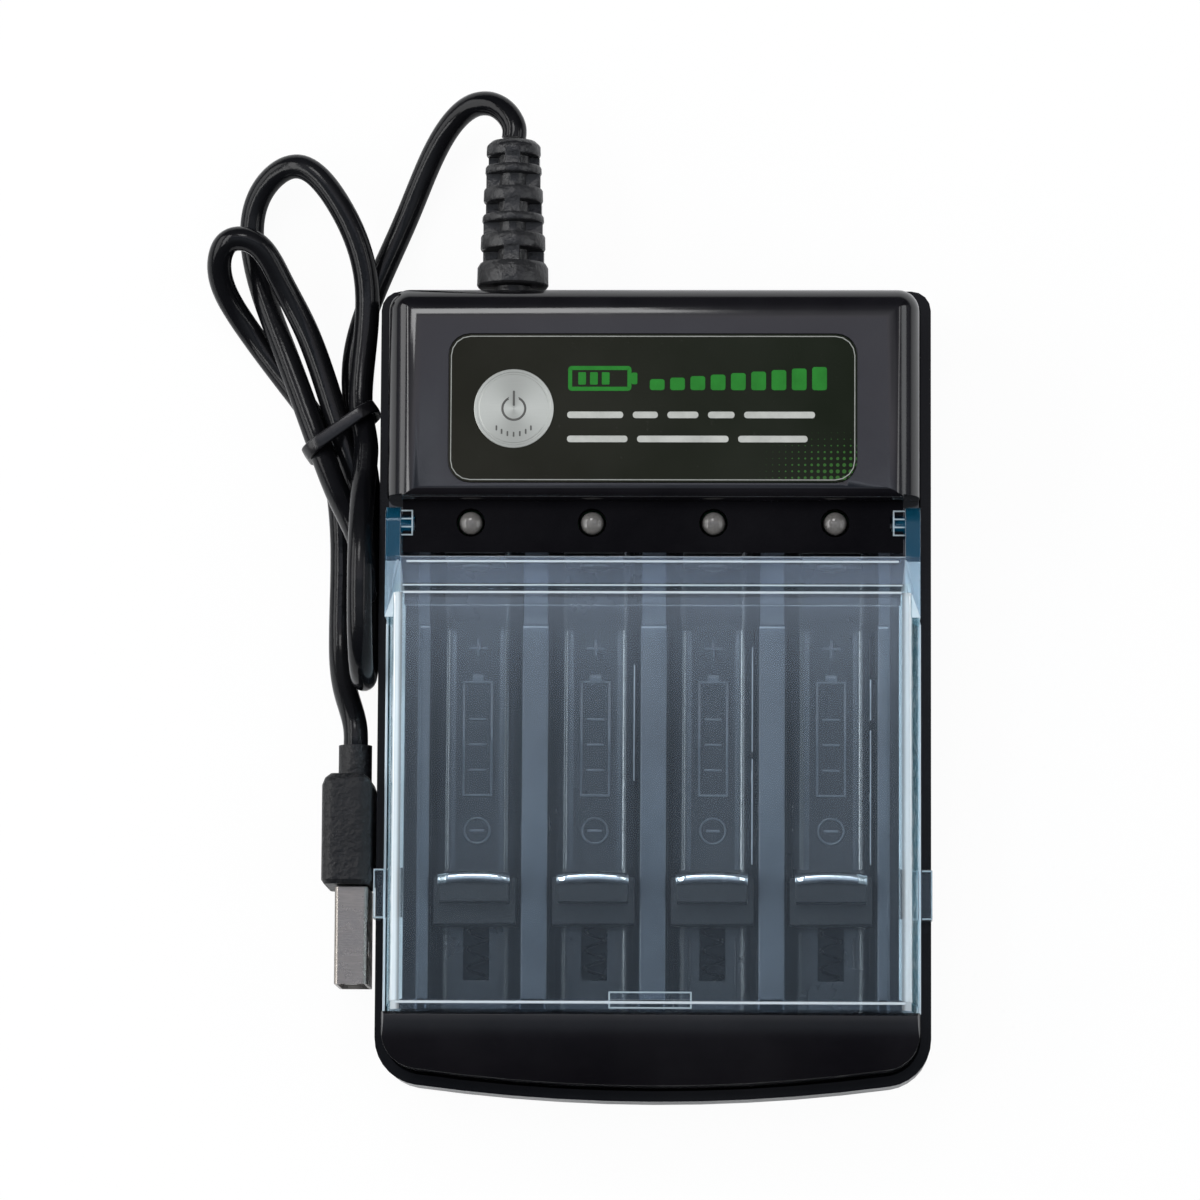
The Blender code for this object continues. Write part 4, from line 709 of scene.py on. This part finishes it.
# Battery bay details, moulded with the upper case: a raised pad along each rib with a lip at its end,
# rails beside each slider's track, rounded groove sides with lips along some of them, and raised
# polarity marks. The lips and marks are painted pale grey as highlights, and the pads and rails take
# the bay's painted lit and shaded copies of the black.
def raised(name, shapes, look, round_by):
    """Low shapes on a moulded floor: each a block, joined, with their edges rounded."""
    parts = [block(f"{name}_part", low, high) for low, high in shapes]
    piece = joined(parts, name, look, "shell_black")
    bevelled(piece, round_by * MM, 3, 40)
    smooth_by_angle(piece, 50)
    return piece


def joined(parts, name, look, slot, body="housing"):
    """Loose shapes of one print or moulding joined in one piece."""
    rest()
    for part in parts:
        part.select_set(True)
    bpy.context.view_layer.objects.active = parts[0]
    if len(parts) > 1:
        bpy.ops.object.join()
    piece = named(name)
    piece.data.materials.clear()
    piece.data.materials.append(look)
    if slot:
        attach(piece, body)
    return piece


SLOT_XS = (-24.3, -8.1, 8.1, 24.3)
RIB_XS = (-16.2, 0.0, 16.2)
BAY_FRONT, PAD_REAR = -44.4, 9.25
GROOVE_SINK, MARK_TOP = 7.95, 8.22
pads = [((x - 1.8, BAY_FRONT, 12.7), (x + 1.8, PAD_REAR, 13.2)) for x in RIB_XS]
pads += [((a, BAY_FRONT, 12.7), (b, PAD_REAR, 13.2)) for a, b in ((-32.1, -30.6), (30.6, 32.1))]
raised("rib_pads", pads, lit_rib_black, 0.26)
rails = []
for x in SLOT_XS:
    for middle in (x - 3.15, x + 3.15):
        rails.append(((middle - 0.18, -44.3, GROOVE_SINK), (middle + 0.18, -33.4, 8.2)))
raised("track_rails", rails, shaded_groove_black, 0.08)
FILLET_RADIUS, GROOVE_HALF = 2.35, 5.34
blanks, cutters = [], []
for x in SLOT_XS:
    for side in (-1, 1):
        ends = sorted((x + side * 3.0, x + side * GROOVE_HALF))
        blanks.append(block("blank", (ends[0], -24.0, GROOVE_SINK), (ends[1], 9.0, 10.35)))
        rest()
        bpy.ops.mesh.primitive_cylinder_add(
            vertices=96, radius=FILLET_RADIUS * MM, depth=34.0 * MM, rotation=(math.pi / 2, 0, 0),
            location=((x + side * 3.0) * MM, -7.5 * MM, 10.36 * MM),
        )
        set_transform()
        cutters.append(bpy.context.object)
sheen_black = moulding(
    "sheen black", (0.010, 0.0115, 0.014), 0.10, 0.16, 0.00001, 0.1, 2200.0, 0.01, sheen=1.0
)
cutter = joined(cutters, "cutter", sheen_black, None)
fillets = joined(blanks, "groove_fillets", sheen_black, "shell_black")
boolean(fillets, cutter, "DIFFERENCE")
smooth_by_angle(fillets, 35)
# Painted highlight: the lips are a pale grey with full specular, painted to show as the glints along the rib
# ends and the groove sides.
lip_glint_paint = moulding("lip painted glint", (0.20, 0.215, 0.24), 0.08, 0.20, 0.00004, 0.2, 2200.0, 0.01, 700.0, 1.0)
lips = [((x - 1.75, 8.72, 13.05), (x + 1.75, 9.0, 13.32)) for x in RIB_XS]
lips += [((a, 8.72, 13.05), (b, 9.0, 13.32)) for a, b in ((-32.05, -30.7), (30.7, 32.05))]
raised("rib_lips", lips, lip_glint_paint, 0.08)
LIP_SPANS = (
    (-8.1, -12.0, 4.0), (8.1, -23.5, -9.0), (8.1, -8.0, 6.5), (24.3, -23.5, -5.0), (24.3, -3.6, 2.0),
)
lips = [((x + 5.30, front, 10.3), (x + 5.52, rear, 10.62)) for x, front, rear in LIP_SPANS]
raised("groove_lips", lips, lip_glint_paint, 0.07)
MARK_SHAPES = (
    (-1.0, -18.9, 1.0, -18.5), (-2.1, -14.0, 2.1, -13.65), (-2.1, 1.65, 2.1, 2.0),
    (-2.1, -13.8, -1.75, 1.8), (1.75, -13.8, 2.1, 1.8), (-0.8, 1.9, 0.8, 2.9),
    (-1.2, -10.5, 1.2, -10.15), (-1.2, -7.0, 1.2, -6.65), (-1.2, -3.5, 1.2, -3.15),
    (-1.3, 6.3, 1.3, 6.7), (-0.2, 5.2, 0.2, 7.8),
)
marks = [
    ((x + left, front, GROOVE_SINK), (x + right, rear, MARK_TOP))
    for x in SLOT_XS for left, front, right, rear in MARK_SHAPES
]
# The polarity marks and minus rings take the pale painted-glint black, so that their raised shapes show as
# painted highlights.
raised("polarity_marks", marks, glint_painted_black, 0.07)
for i, x in enumerate(SLOT_XS):
    rest()
    bpy.ops.mesh.primitive_torus_add(
        major_radius=1.75 * MM, minor_radius=0.2 * MM, major_segments=36, minor_segments=8,
        location=(x * MM, -18.7 * MM, 8.05 * MM),
    )
    set_transform()
    smooth_by_angle(bpy.context.object, 60)
    joined([bpy.context.object], f"minus_ring_{i + 1}", glint_painted_black, "shell_black")


# Label. A printed film laid in the head's recess: an olive-black ground that fades to a field
# of small green dots, a fine pale line near its edge that is a painted highlight of the recess edge,
# and plain pictograms and bars in place of words.
look, nodes, links, shader = bare_material("label ground")
shader.inputs["Specular IOR Level"].default_value = 0.06
spot = separated(nodes, object_place(nodes))
DOT_PITCH = 0.88 * MM
rows = math_node(nodes, "DIVIDE", spot["Y"], DOT_PITCH)
columns = math_node(nodes, "DIVIDE", spot["X"], DOT_PITCH)
u = math_node(nodes, "SUBTRACT", math_node(nodes, "FRACT", columns), 0.5)
v = math_node(nodes, "SUBTRACT", math_node(nodes, "FRACT", rows), 0.5)
squares = math_node(nodes, "MULTIPLY_ADD", u, u, math_node(nodes, "MULTIPLY", v, v))
reach = math_node(nodes, "SQRT", squares)
to_right = ramp_between(nodes, spot["X"], 12.0 * MM, 27.0 * MM, 0.0, 1.0)
to_front = ramp_between(nodes, spot["Y"], 35.5 * MM, 27.5 * MM, 0.0, 1.0)
field = math_node(nodes, "MULTIPLY", to_right, to_front)
dot_size = math_node(nodes, "MULTIPLY", field, 0.34)
dots = math_node(nodes, "LESS_THAN", reach, dot_size)
warm = ramp_between(nodes, spot["X"], -28 * MM, 28 * MM, 0.0, 1.0)
ground = colour_mix(nodes, warm, (0.0105, 0.0105, 0.0066), (0.0062, 0.0094, 0.0042))
printed = colour_mix(nodes, dots, ground, (0.028, 0.10, 0.020))
specks = group_node(nodes, dust, Surface=printed, Amount=0.03, Speck_Scale=900.0)
worn(nodes, shader, 0.20, 0.30, 70.0)
links.new(specks.outputs["Color"], shader.inputs["Base Color"])
moulded_copy("label_plate", "label_film", 0.06 * MM, 2, 40, look)
LABEL_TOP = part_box("label_plate")[1].z


def ink(name, colour, roughness=0.42):
    """Screen-printed ink: a thin even film with a slightly broken surface."""
    look, nodes, links, shader = bare_material(name)
    dulled = worn(nodes, shader, roughness - 0.06, roughness + 0.08, 400.0)
    shader.inputs["Specular IOR Level"].default_value = 0.12
    faded = tuple(c * 0.8 for c in colour)
    links.new(colour_mix(nodes, dulled, colour, faded), shader.inputs["Base Color"])
    return look


def printed_bar(x, y, width, height, corner, rise):
    """A flat plate with rounded corners, in millimetres, left in edit mode."""
    rest()
    bpy.ops.mesh.primitive_plane_add(size=1.0, location=(x * MM, y * MM, LABEL_TOP + rise * MM))
    bpy.context.object.scale = (width * MM, height * MM, 1.0)
    set_transform()
    edit_whole(bpy.context.object)
    bpy.ops.mesh.bevel(offset=corner * MM, segments=4, affect="VERTICES")


def draw_up(thickness):
    """Gives the printed shape in edit mode the ink's thickness."""
    select_whole()
    bpy.ops.mesh.extrude_region_move(TRANSFORM_OT_translate={"value": (0, 0, thickness * MM)})
    normals_outward()


INK_THICKNESS = 0.03


def solid_bar(x, y, width, height, corner, rise=0.0, thickness=INK_THICKNESS):
    printed_bar(x, y, width, height, corner, rise)
    draw_up(thickness)
    return bpy.context.object


def open_frame(x, y, width, height, corner, line):
    """A printed outline: the plate is inset by the line's width and its middle taken out."""
    printed_bar(x, y, width, height, corner, 0.0)
    select_whole()
    bpy.ops.mesh.inset(thickness=line * MM)
    bpy.ops.mesh.delete(type="FACE")
    draw_up(INK_THICKNESS)
    return bpy.context.object


label_low, label_high = (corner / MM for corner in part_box("label_plate"))
middle = (label_low + label_high) / 2
size = label_high - label_low
BORDER_INSET = 0.5
# Painted highlight: a fine pale grey line just inside the label's edge stands in for the glint along the
# recess edge.
border = open_frame(middle.x, middle.y, size.x - BORDER_INSET, size.y - BORDER_INSET, 2.7, 0.13)
joined([border], "label_recess_highlight", ink("recess highlight ink", (0.30, 0.31, 0.29)), "label_dark")

green_ink = ink("green ink", (0.018, 0.185, 0.022))
GREEN_Y = 41.3
green = [open_frame(-7.2, GREEN_Y, 8.6, 3.4, 0.5, 0.55), solid_bar(-2.5, GREEN_Y, 0.8, 1.6, 0.2)]
green += [solid_bar(x, GREEN_Y, 1.05, 1.7, 0.15) for x in (-9.6, -8.0, -6.4)]
for i in range(9):
    height = 1.5 + 0.21 * i
    green.append(solid_bar(0.6 + 2.75 * i, GREEN_Y - 1.6 + height / 2, 2.0, height, 0.35))
joined(green, "label_green_print", green_ink, "label_dark")

white_ink = ink("white ink", (0.46, 0.47, 0.44))
white = []
for y, widths in ((36.3, (7.6, 3.4, 4.2, 3.6, 9.6)), (33.0, (8.2, 12.4, 9.4))):
    x = -11.6
    for width in widths:
        white.append(solid_bar(x + width / 2, y, width, 0.9, 0.40))
        x += width + 1.3
joined(white, "label_white_print", white_ink, "label_dark")


# Power disc. A pressed, brushed metal-look disc printed on the label, with a turned rim, a
# fine dark ring, and the plain power symbol.
def turned(name, stations, sides=48, place=None):
    """A round body drawn up from a disc: each station is a height and a radius."""
    rest()
    height, radius = stations[0]
    bpy.ops.mesh.primitive_circle_add(
        vertices=sides, radius=radius, fill_type="NGON", location=(0, 0, height)
    )
    piece = named(name)
    set_transform()
    edit_whole(piece)
    for (low, inner), (high, outer) in zip(stations, stations[1:]):
        bpy.ops.mesh.extrude_region_move(TRANSFORM_OT_translate={"value": (0, 0, high - low)})
        bpy.ops.transform.resize(value=(outer / inner, outer / inner, 1.0), center_override=(0, 0, high))
    normals_outward()
    activate(piece)
    if place:
        piece.matrix_world = place
        set_transform()
    return piece


DISC_X, DISC_Y = -18.85 * MM, 37.15 * MM
look, nodes, links, shader = bare_material("brushed disc")
place = object_place(nodes)
from_disc = mapped(nodes, place, "Location", (-DISC_X, -DISC_Y, 0))
spot = separated(nodes, from_disc)
angle = math_node(nodes, "ARCTAN2", spot["Y"], spot["X"])
wave = math_node(nodes, "COSINE", math_node(nodes, "MULTIPLY", angle, 2.0))
fan = math_node(nodes, "MULTIPLY_ADD", wave, 0.5, 0.5)
lines = noise(nodes, 1.0, 3.0, mapped(nodes, place, "Scale", (300, 9000, 300)))
tone = colour_mix(nodes, fan, (0.29, 0.30, 0.275), (0.46, 0.475, 0.44))
tone = colour_mix(nodes, math_node(nodes, "MULTIPLY_ADD", lines, 0.5, 0.0), tone, (0.36, 0.37, 0.345))
past = math_node(nodes, "SUBTRACT", length_of(nodes, from_disc), 4.62 * MM)
ring = math_node(nodes, "LESS_THAN", math_node(nodes, "ABSOLUTE", past), 0.10 * MM)
tone = colour_mix(nodes, ring, tone, (0.16, 0.17, 0.15))
links.new(tone, shader.inputs["Base Color"])
shader.inputs["Metallic"].default_value = 0.35
shader.inputs["Roughness"].default_value = 0.32
stations = [(0.0, 5.40), (0.06, 5.40), (0.10, 5.34), (0.10, 5.02), (0.05, 4.96), (0.05, 4.72)]
stations += [(0.09, 4.66), (0.09, 4.0), (0.08, 2.0), (0.08, 0.2)]
place = Matrix.Translation((DISC_X, DISC_Y, LABEL_TOP))
disc = turned("power_disc", [(h * MM, r * MM) for h, r in stations], 96, place)
smooth_by_angle(disc, 30)
disc.data.materials.append(look)
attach(disc, "housing")

SYMBOL_Z = LABEL_TOP + 0.085 * MM
rest()
bpy.ops.mesh.primitive_torus_add(
    major_radius=1.55 * MM, minor_radius=0.15 * MM, major_segments=64, minor_segments=12,
    location=(DISC_X, DISC_Y, SYMBOL_Z),
)
set_transform()
arc_piece = bpy.context.object
bpy.ops.object.mode_set(mode="EDIT")
bpy.ops.mesh.select_all(action="DESELECT")
mesh = bmesh.from_edit_mesh(arc_piece.data)
for vertex in mesh.verts:
    vertex.select = abs(vertex.co.x - DISC_X) < 0.62 * MM and vertex.co.y > DISC_Y
mesh.select_flush(True)
bmesh.update_edit_mesh(arc_piece.data)
bpy.ops.mesh.delete(type="VERT")
select_whole()
bpy.ops.mesh.fill_holes(sides=0)
select_whole()
bpy.ops.transform.resize(value=(1, 1, 0.4), center_override=(0, 0, SYMBOL_Z))
DISC_TOP, TICK_REACH = 0.07, 3.55
x, y = DISC_X / MM, DISC_Y / MM
stem = solid_bar(x, y + 1.40, 0.28, 2.1, 0.12, DISC_TOP, 0.06)
ticks = []
for lean in (-0.72, -0.48, -0.24, 0.0, 0.24, 0.48, 0.72):
    across, along = TICK_REACH * math.sin(lean), TICK_REACH * math.cos(lean)
    ticks.append(solid_bar(x + across, y - along, 0.22, 0.7, 0.1, DISC_TOP, 0.05))
joined([arc_piece, stem, *ticks], "power_symbol", ink("grey ink", (0.10, 0.10, 0.095)), "label_dark")


# Lid. One clear styrene moulding with a cyan cast: plate, skirts, rear ledge, hinge arms with
# snap pins, finger tabs and a latch bar. Lamps reach the bay through it.
def clear_plastic(name, colour, passes, clean, dulled, mottle=None):
    """Clear styrene: glass-like, and for rays from lamps a plain tinted pane."""
    look, nodes, links, shader = bare_material(name)
    shader.inputs["Base Color"].default_value = (*colour, 1)
    shader.inputs["Transmission Weight"].default_value = passes
    shader.inputs["IOR"].default_value = 1.50
    shader.inputs["Specular Tint"].default_value = (0.42, 0.46, 0.52, 1)
    worn(nodes, shader, clean, dulled, 40.0)
    if mottle:
        place = object_place(nodes)
        outward = math_node(nodes, "ABSOLUTE", separated(nodes, place)["X"])
        wander = math_node(nodes, "MULTIPLY_ADD", noise(nodes, 420.0, 3.0, place, 0.6), 0.9 * MM, -0.45 * MM)
        past = math_node(nodes, "ADD", outward, wander)
        past = ramp_between(nodes, past, 34.9 * MM, 35.15 * MM, 0.0, 1.0)
        patches = noise(nodes, 700.0, 4.0, place, 0.7)
        streaks = math_node(nodes, "MULTIPLY_ADD", patches, 5.0, -2.4, clamp=True)
        skirt = colour_mix(nodes, streaks, mottle, colour)
        inner = ramp_between(nodes, outward, 33.9 * MM, 34.5 * MM, 0.0, 1.0)
        band = colour_mix(nodes, inner, tuple(c * 0.30 for c in colour), colour)
        edge_on = nodes.new("ShaderNodeLayerWeight")
        edge_on.inputs["Blend"].default_value = 0.5
        long_way = ramp_between(nodes, edge_on.outputs["Facing"], 0.55, 0.95, 0.10, 1.0)
        deep = math_node(nodes, "MULTIPLY", past, long_way)
        links.new(colour_mix(nodes, deep, band, skirt), shader.inputs["Base Color"])
    path = nodes.new("ShaderNodeLightPath")
    passing = nodes.new("ShaderNodeBsdfTransparent")
    passing.inputs["Color"].default_value = (0.88, 0.93, 0.96, 1)
    surface_mix(nodes, path.outputs["Is Shadow Ray"], shader, passing)
    return look


clear_lid = rejoined_copy("lid", "clear_cover")
for vertex in clear_lid.data.vertices:
    if vertex.co.y > 17.1 * MM and abs(vertex.co.x) < 33.6 * MM and vertex.co.z > 22.0 * MM:
        vertex.co.y -= 0.45 * MM
round_edges(clear_lid, 0.30 * MM, 3, 28)
clear_lid.data.materials.append(clear_plastic("clear lid", (0.86, 0.95, 1.0), 0.99, 0.012, 0.04))
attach(clear_lid, "lid")
for look in (
    clear_plastic("lid skirt", (0.88, 0.96, 1.0), 0.52, 0.06, 0.16, (0.03, 0.24, 0.33)),
    clear_plastic("hinge arm", (0.010, 0.13, 0.22), 0.72, 0.04, 0.10),
    clear_plastic("lid edge painted glint", (1.0, 1.0, 1.0), 0.10, 0.06, 0.14),
    clear_plastic("lid ledge", (0.70, 0.82, 0.95), 0.97, 0.04, 0.10),
    # Painted highlight: the two pale bead materials stand in for the glints on the lid's rims, outlines and
    # clips.
    clear_plastic("lid bead glint paint", (0.62, 0.68, 0.72), 0.30, 0.08, 0.16),
    clear_plastic("faint bead glint paint", (0.42, 0.50, 0.54), 0.40, 0.08, 0.16),
):
    clear_lid.data.materials.append(look)
CLEAR, SKIRT, ARM, LID_GLINT, LEDGE = range(5)
# Narrow faces along the lid's high edges and latch bar, and the rear strip behind the ledge, take the
# near-white lid edge material: a painted highlight for the bright lines those edges show.
for face in clear_lid.data.polygons:
    x, y, z = (c / MM for c in face.center)
    corners = [clear_lid.data.vertices[v].co for v in face.vertices]
    longest = max((a - b).length for a, b in zip(corners, corners[1:] + corners[:1]))
    latch_bar = abs(x) < 5.8 and y < -41.5 and z < 24.6
    narrow = face.area < longest * 0.20 * MM and longest > 0.6 * MM
    at_front = y < -42.0
    high = z > (25.5 if at_front else 24.9) or y > 16.4 or abs(x) > 36.45
    if (narrow and (high or latch_bar)) or (y > 16.9 and abs(x) < 33.0):
        face.material_index = LID_GLINT
    elif (latch_bar and z < 23.6) or (12.6 < y < 17.4 and abs(x) < 33.0 and abs(face.normal.z) > 0.9):
        face.material_index = LEDGE
    elif abs(x) > 36.55:
        face.material_index = CLEAR
    elif abs(x) > 32.3 and y > 17.0:
        face.material_index = ARM
    elif abs(x) > 33.7 and y > 12.3 and face.normal.z > 0.3:
        face.material_index = LEDGE
    elif abs(x) > 33.7:
        face.material_index = SKIRT


# Lid rims. The moulded beads that edge the lid's plate, its rear step and ledge and the feet
# of its skirts, fine outlines at the latch and the finger tabs, and the clips at the hinges, all in
# pale, half-clear materials that paint the bright lines of the lid's edges as highlights.
beads = [((-34.3, -43.48, 25.72), (34.3, -43.14, 26.06)), ((-33.7, 12.02, 25.72), (33.7, 12.34, 26.06))]
beads += [((-33.9, 13.2, 24.3), (33.9, 13.46, 24.58)), ((-33.4, 16.45, 24.2), (33.4, 16.75, 24.48))]
for side in (-1, 1):
    ends = sorted((side * 36.38 - 0.14, side * 36.72 - 0.14))
    beads.append(((ends[0], -44.0, 12.25), (ends[1], 9.5, 12.6)))
    beads.append(((ends[0], 9.3, 12.25), (ends[1], 16.8, 12.6)))
parts = [block("bead", low, high) for low, high in beads]
for piece in (parts[-1], parts[-3]):
    for vertex in piece.data.vertices:
        if vertex.co.y > 12 * MM:
            vertex.co.x *= 34.4 / 36.5
            vertex.co.z += 11.9 * MM
lid_rims = joined(parts, "lid_rims", bpy.data.materials["lid bead glint paint"], "clear_lid", "lid")
frames = [((-5.6, -42.05, 25.8), (5.6, -41.83, 26.05)), ((-5.6, -44.1, 25.8), (-5.38, -41.9, 26.05))]
frames += [((5.38, -44.1, 25.8), (5.6, -41.9, 26.05)), ((-5.6, -44.12, 25.6), (5.6, -43.9, 25.85))]
for side in (-1, 1):
    for inner, outer, low_y, high_y in (
        (37.9, 38.08, -31.2, -24.6), (36.7, 38.08, -31.25, -31.05), (36.7, 38.08, -24.75, -24.55),
    ):
        ends = sorted((side * inner, side * outer))
        frames.append(((ends[0], low_y, 14.86), (ends[1], high_y, 15.06)))
parts = [block("frame", low, high) for low, high in frames]
lid_outlines = joined(parts, "lid_outlines", bpy.data.materials["faint bead glint paint"], "clear_lid", "lid")
clips = []
for side in (-1, 1):
    x = side * 33.45
    for low_y, high_y in ((20.2, 20.42), (21.3, 21.52), (22.4, 22.62), (23.5, 23.72)):
        clips.append(block("clip", (x - 0.75, low_y, 23.5), (x + 0.75, high_y, 23.72)))
    spine = x - side * 0.75
    clips.append(block("clip", (spine - 0.11, 20.2, 23.5), (spine + 0.11, 23.72, 23.72)))
hinge_clips = joined(clips, "hinge_clips", bpy.data.materials["faint bead glint paint"], "clear_lid")
for piece, width in ((lid_rims, 0.11), (lid_outlines, 0.07), (hinge_clips, 0.07)):
    bevelled(piece, width * MM, 3, 40)
    smooth_by_angle(piece, 50)


# Strain relief. A rubber moulding over the cord: a flange against the case and a ladder of
# collars joined in turn by upright and level webs, so that it bends either way.
RELIEF_X, RELIEF_Z = -19.8, 12.0
levels = [(-5.1, 3.8), (-3.8, 3.8), (-3.8, 2.6), (0.3, 2.6), (0.3, 4.75), (0.6, 4.95), (3.0, 4.90)]
levels += [(3.6, 4.55), (3.8, 2.1)]
webs = []
v = 3.8
for index, (gap, collar) in enumerate(((1.7, 2.1), (1.7, 1.1), (1.8, 1.9), (2.0, 1.2), (1.4, 1.6))):
    outer = 4.80 - 0.055 * (v + gap)
    webs.append((index % 2, v - 0.3, v + gap + 0.3, outer))
    levels += [(v + gap, 2.1), (v + gap, outer - 0.12), (v + gap + 0.25, outer)]
    v += gap + collar
    levels += [(v - 0.25, outer - 0.04), (v, outer - 0.2)]
    if index < 4:
        levels.append((v, 2.1))
levels += [(v + 0.5, outer - 0.75), (v + 0.5, 1.9)]
foot = Vector((RELIEF_X * MM, CASE_REAR * MM, RELIEF_Z * MM))
place = Matrix.Translation(foot) @ Matrix.Rotation(-math.pi / 2, 4, "X")
relief_piece = turned("cord_relief", [(h * MM, r * MM) for h, r in levels], 56, place)
for level_web, start, end, outer in webs:
    rest()
    web_y = CASE_REAR + (start + end) / 2
    bpy.ops.mesh.primitive_cube_add(size=1.0, location=(RELIEF_X * MM, web_y * MM, RELIEF_Z * MM))
    web = bpy.context.object
    wide, tall = (outer * 1.9, 2.1) if level_web else (2.1, outer * 1.93)
    web.scale = (wide * MM, (end - start) * MM, tall * MM)
    set_transform()
    boolean(relief_piece, web, "UNION")
    if not level_web:
        half = outer * 0.93
        front, rear = CASE_REAR + start, CASE_REAR + end
        low = block("low_web", (RELIEF_X - half, front, 8.2), (RELIEF_X + half, rear, 11.2))
        boolean(relief_piece, low, "UNION")
bevelled(relief_piece, 0.16 * MM, 2, 32, use_clamp_overlap=True)
smooth_by_angle(relief_piece, 40)
relief_rubber = moulding(
    "relief rubber", (0.007, 0.0073, 0.0085), 0.26, 0.42, 0.00022, 0.8, 1300.0, 0.03, sheen=0.4
)
relief_piece.data.materials.append(relief_rubber)
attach(relief_piece, "housing")
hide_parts("strain_relief")

# Tie. A flat band of black rubber pulled round the three passes of cord beside the case.
rest()
bpy.ops.mesh.primitive_plane_add(size=1.0)
tie_band = named("tie_band")
tie_band.scale = (11.2 * MM, 10.0 * MM, 1.0)
set_transform()
edit_whole(tie_band)
bpy.ops.mesh.bevel(offset=2.6 * MM, segments=8, affect="VERTICES")
select_whole()
bpy.ops.mesh.delete(type="ONLY_FACE")
select_whole()
bpy.ops.mesh.extrude_region_move(TRANSFORM_OT_translate={"value": (0, 0, 1.9 * MM)})
rest()
side = Vector((0.81, 0.58, 0)).normalized()
facing = side.cross(Vector((0, 0, 1)))
turn = Matrix((side, Vector((0, 0, 1)), facing)).transposed().to_4x4()
tie_middle = Vector((-43.75 * MM, 37.0 * MM, 5.55 * MM)) - facing * 0.95 * MM
activate(tie_band)
tie_band.matrix_world = Matrix.Translation(tie_middle) @ turn
set_transform()
apply_modifier(tie_band, "SOLIDIFY", thickness=0.9 * MM, offset=0.0)
bevelled(tie_band, 0.30 * MM, 3, 40)
smooth_by_angle(tie_band, 50)
tie_band.data.materials.append(
    moulding("tie rubber", (0.004, 0.004, 0.005), 0.22, 0.34, 0.00005, 0.5, 1500.0, 0.02, sheen=0.4)
)
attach(tie_band, "housing")
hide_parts("cord_tie")

# Plug. A spark-textured black overmould on the cord's end, a folded nickel-plated shell, and
# the white insulating tongue inside it.
grip_black = moulding(
    "grip black", (0.0046, 0.0048, 0.0058), 0.36, 0.52, 0.00034, 0.9, 1100.0, 0.02, sheen=0.28
)
plug_grip = moulded_copy("plug_overmould", "plug_grip", 0.35 * MM, 3, 28, grip_black)
plug_nickel = metal("plug nickel", (0.31, 0.285, 0.26), 0.22, 0.36, (600, 8000, 600), 0.00001)
plug_case = moulded_copy("plug_shell", "plug_case", 0.12 * MM, 2, 30, plug_nickel)
tongue = moulding("tongue white", (0.62, 0.62, 0.60), 0.35, 0.48, 0.00003, 0.5, 1800.0, 0.05)
plug_tongue = moulded_copy("plug_tongue", "plug_insert", 0.12 * MM, 2, 40, tongue)
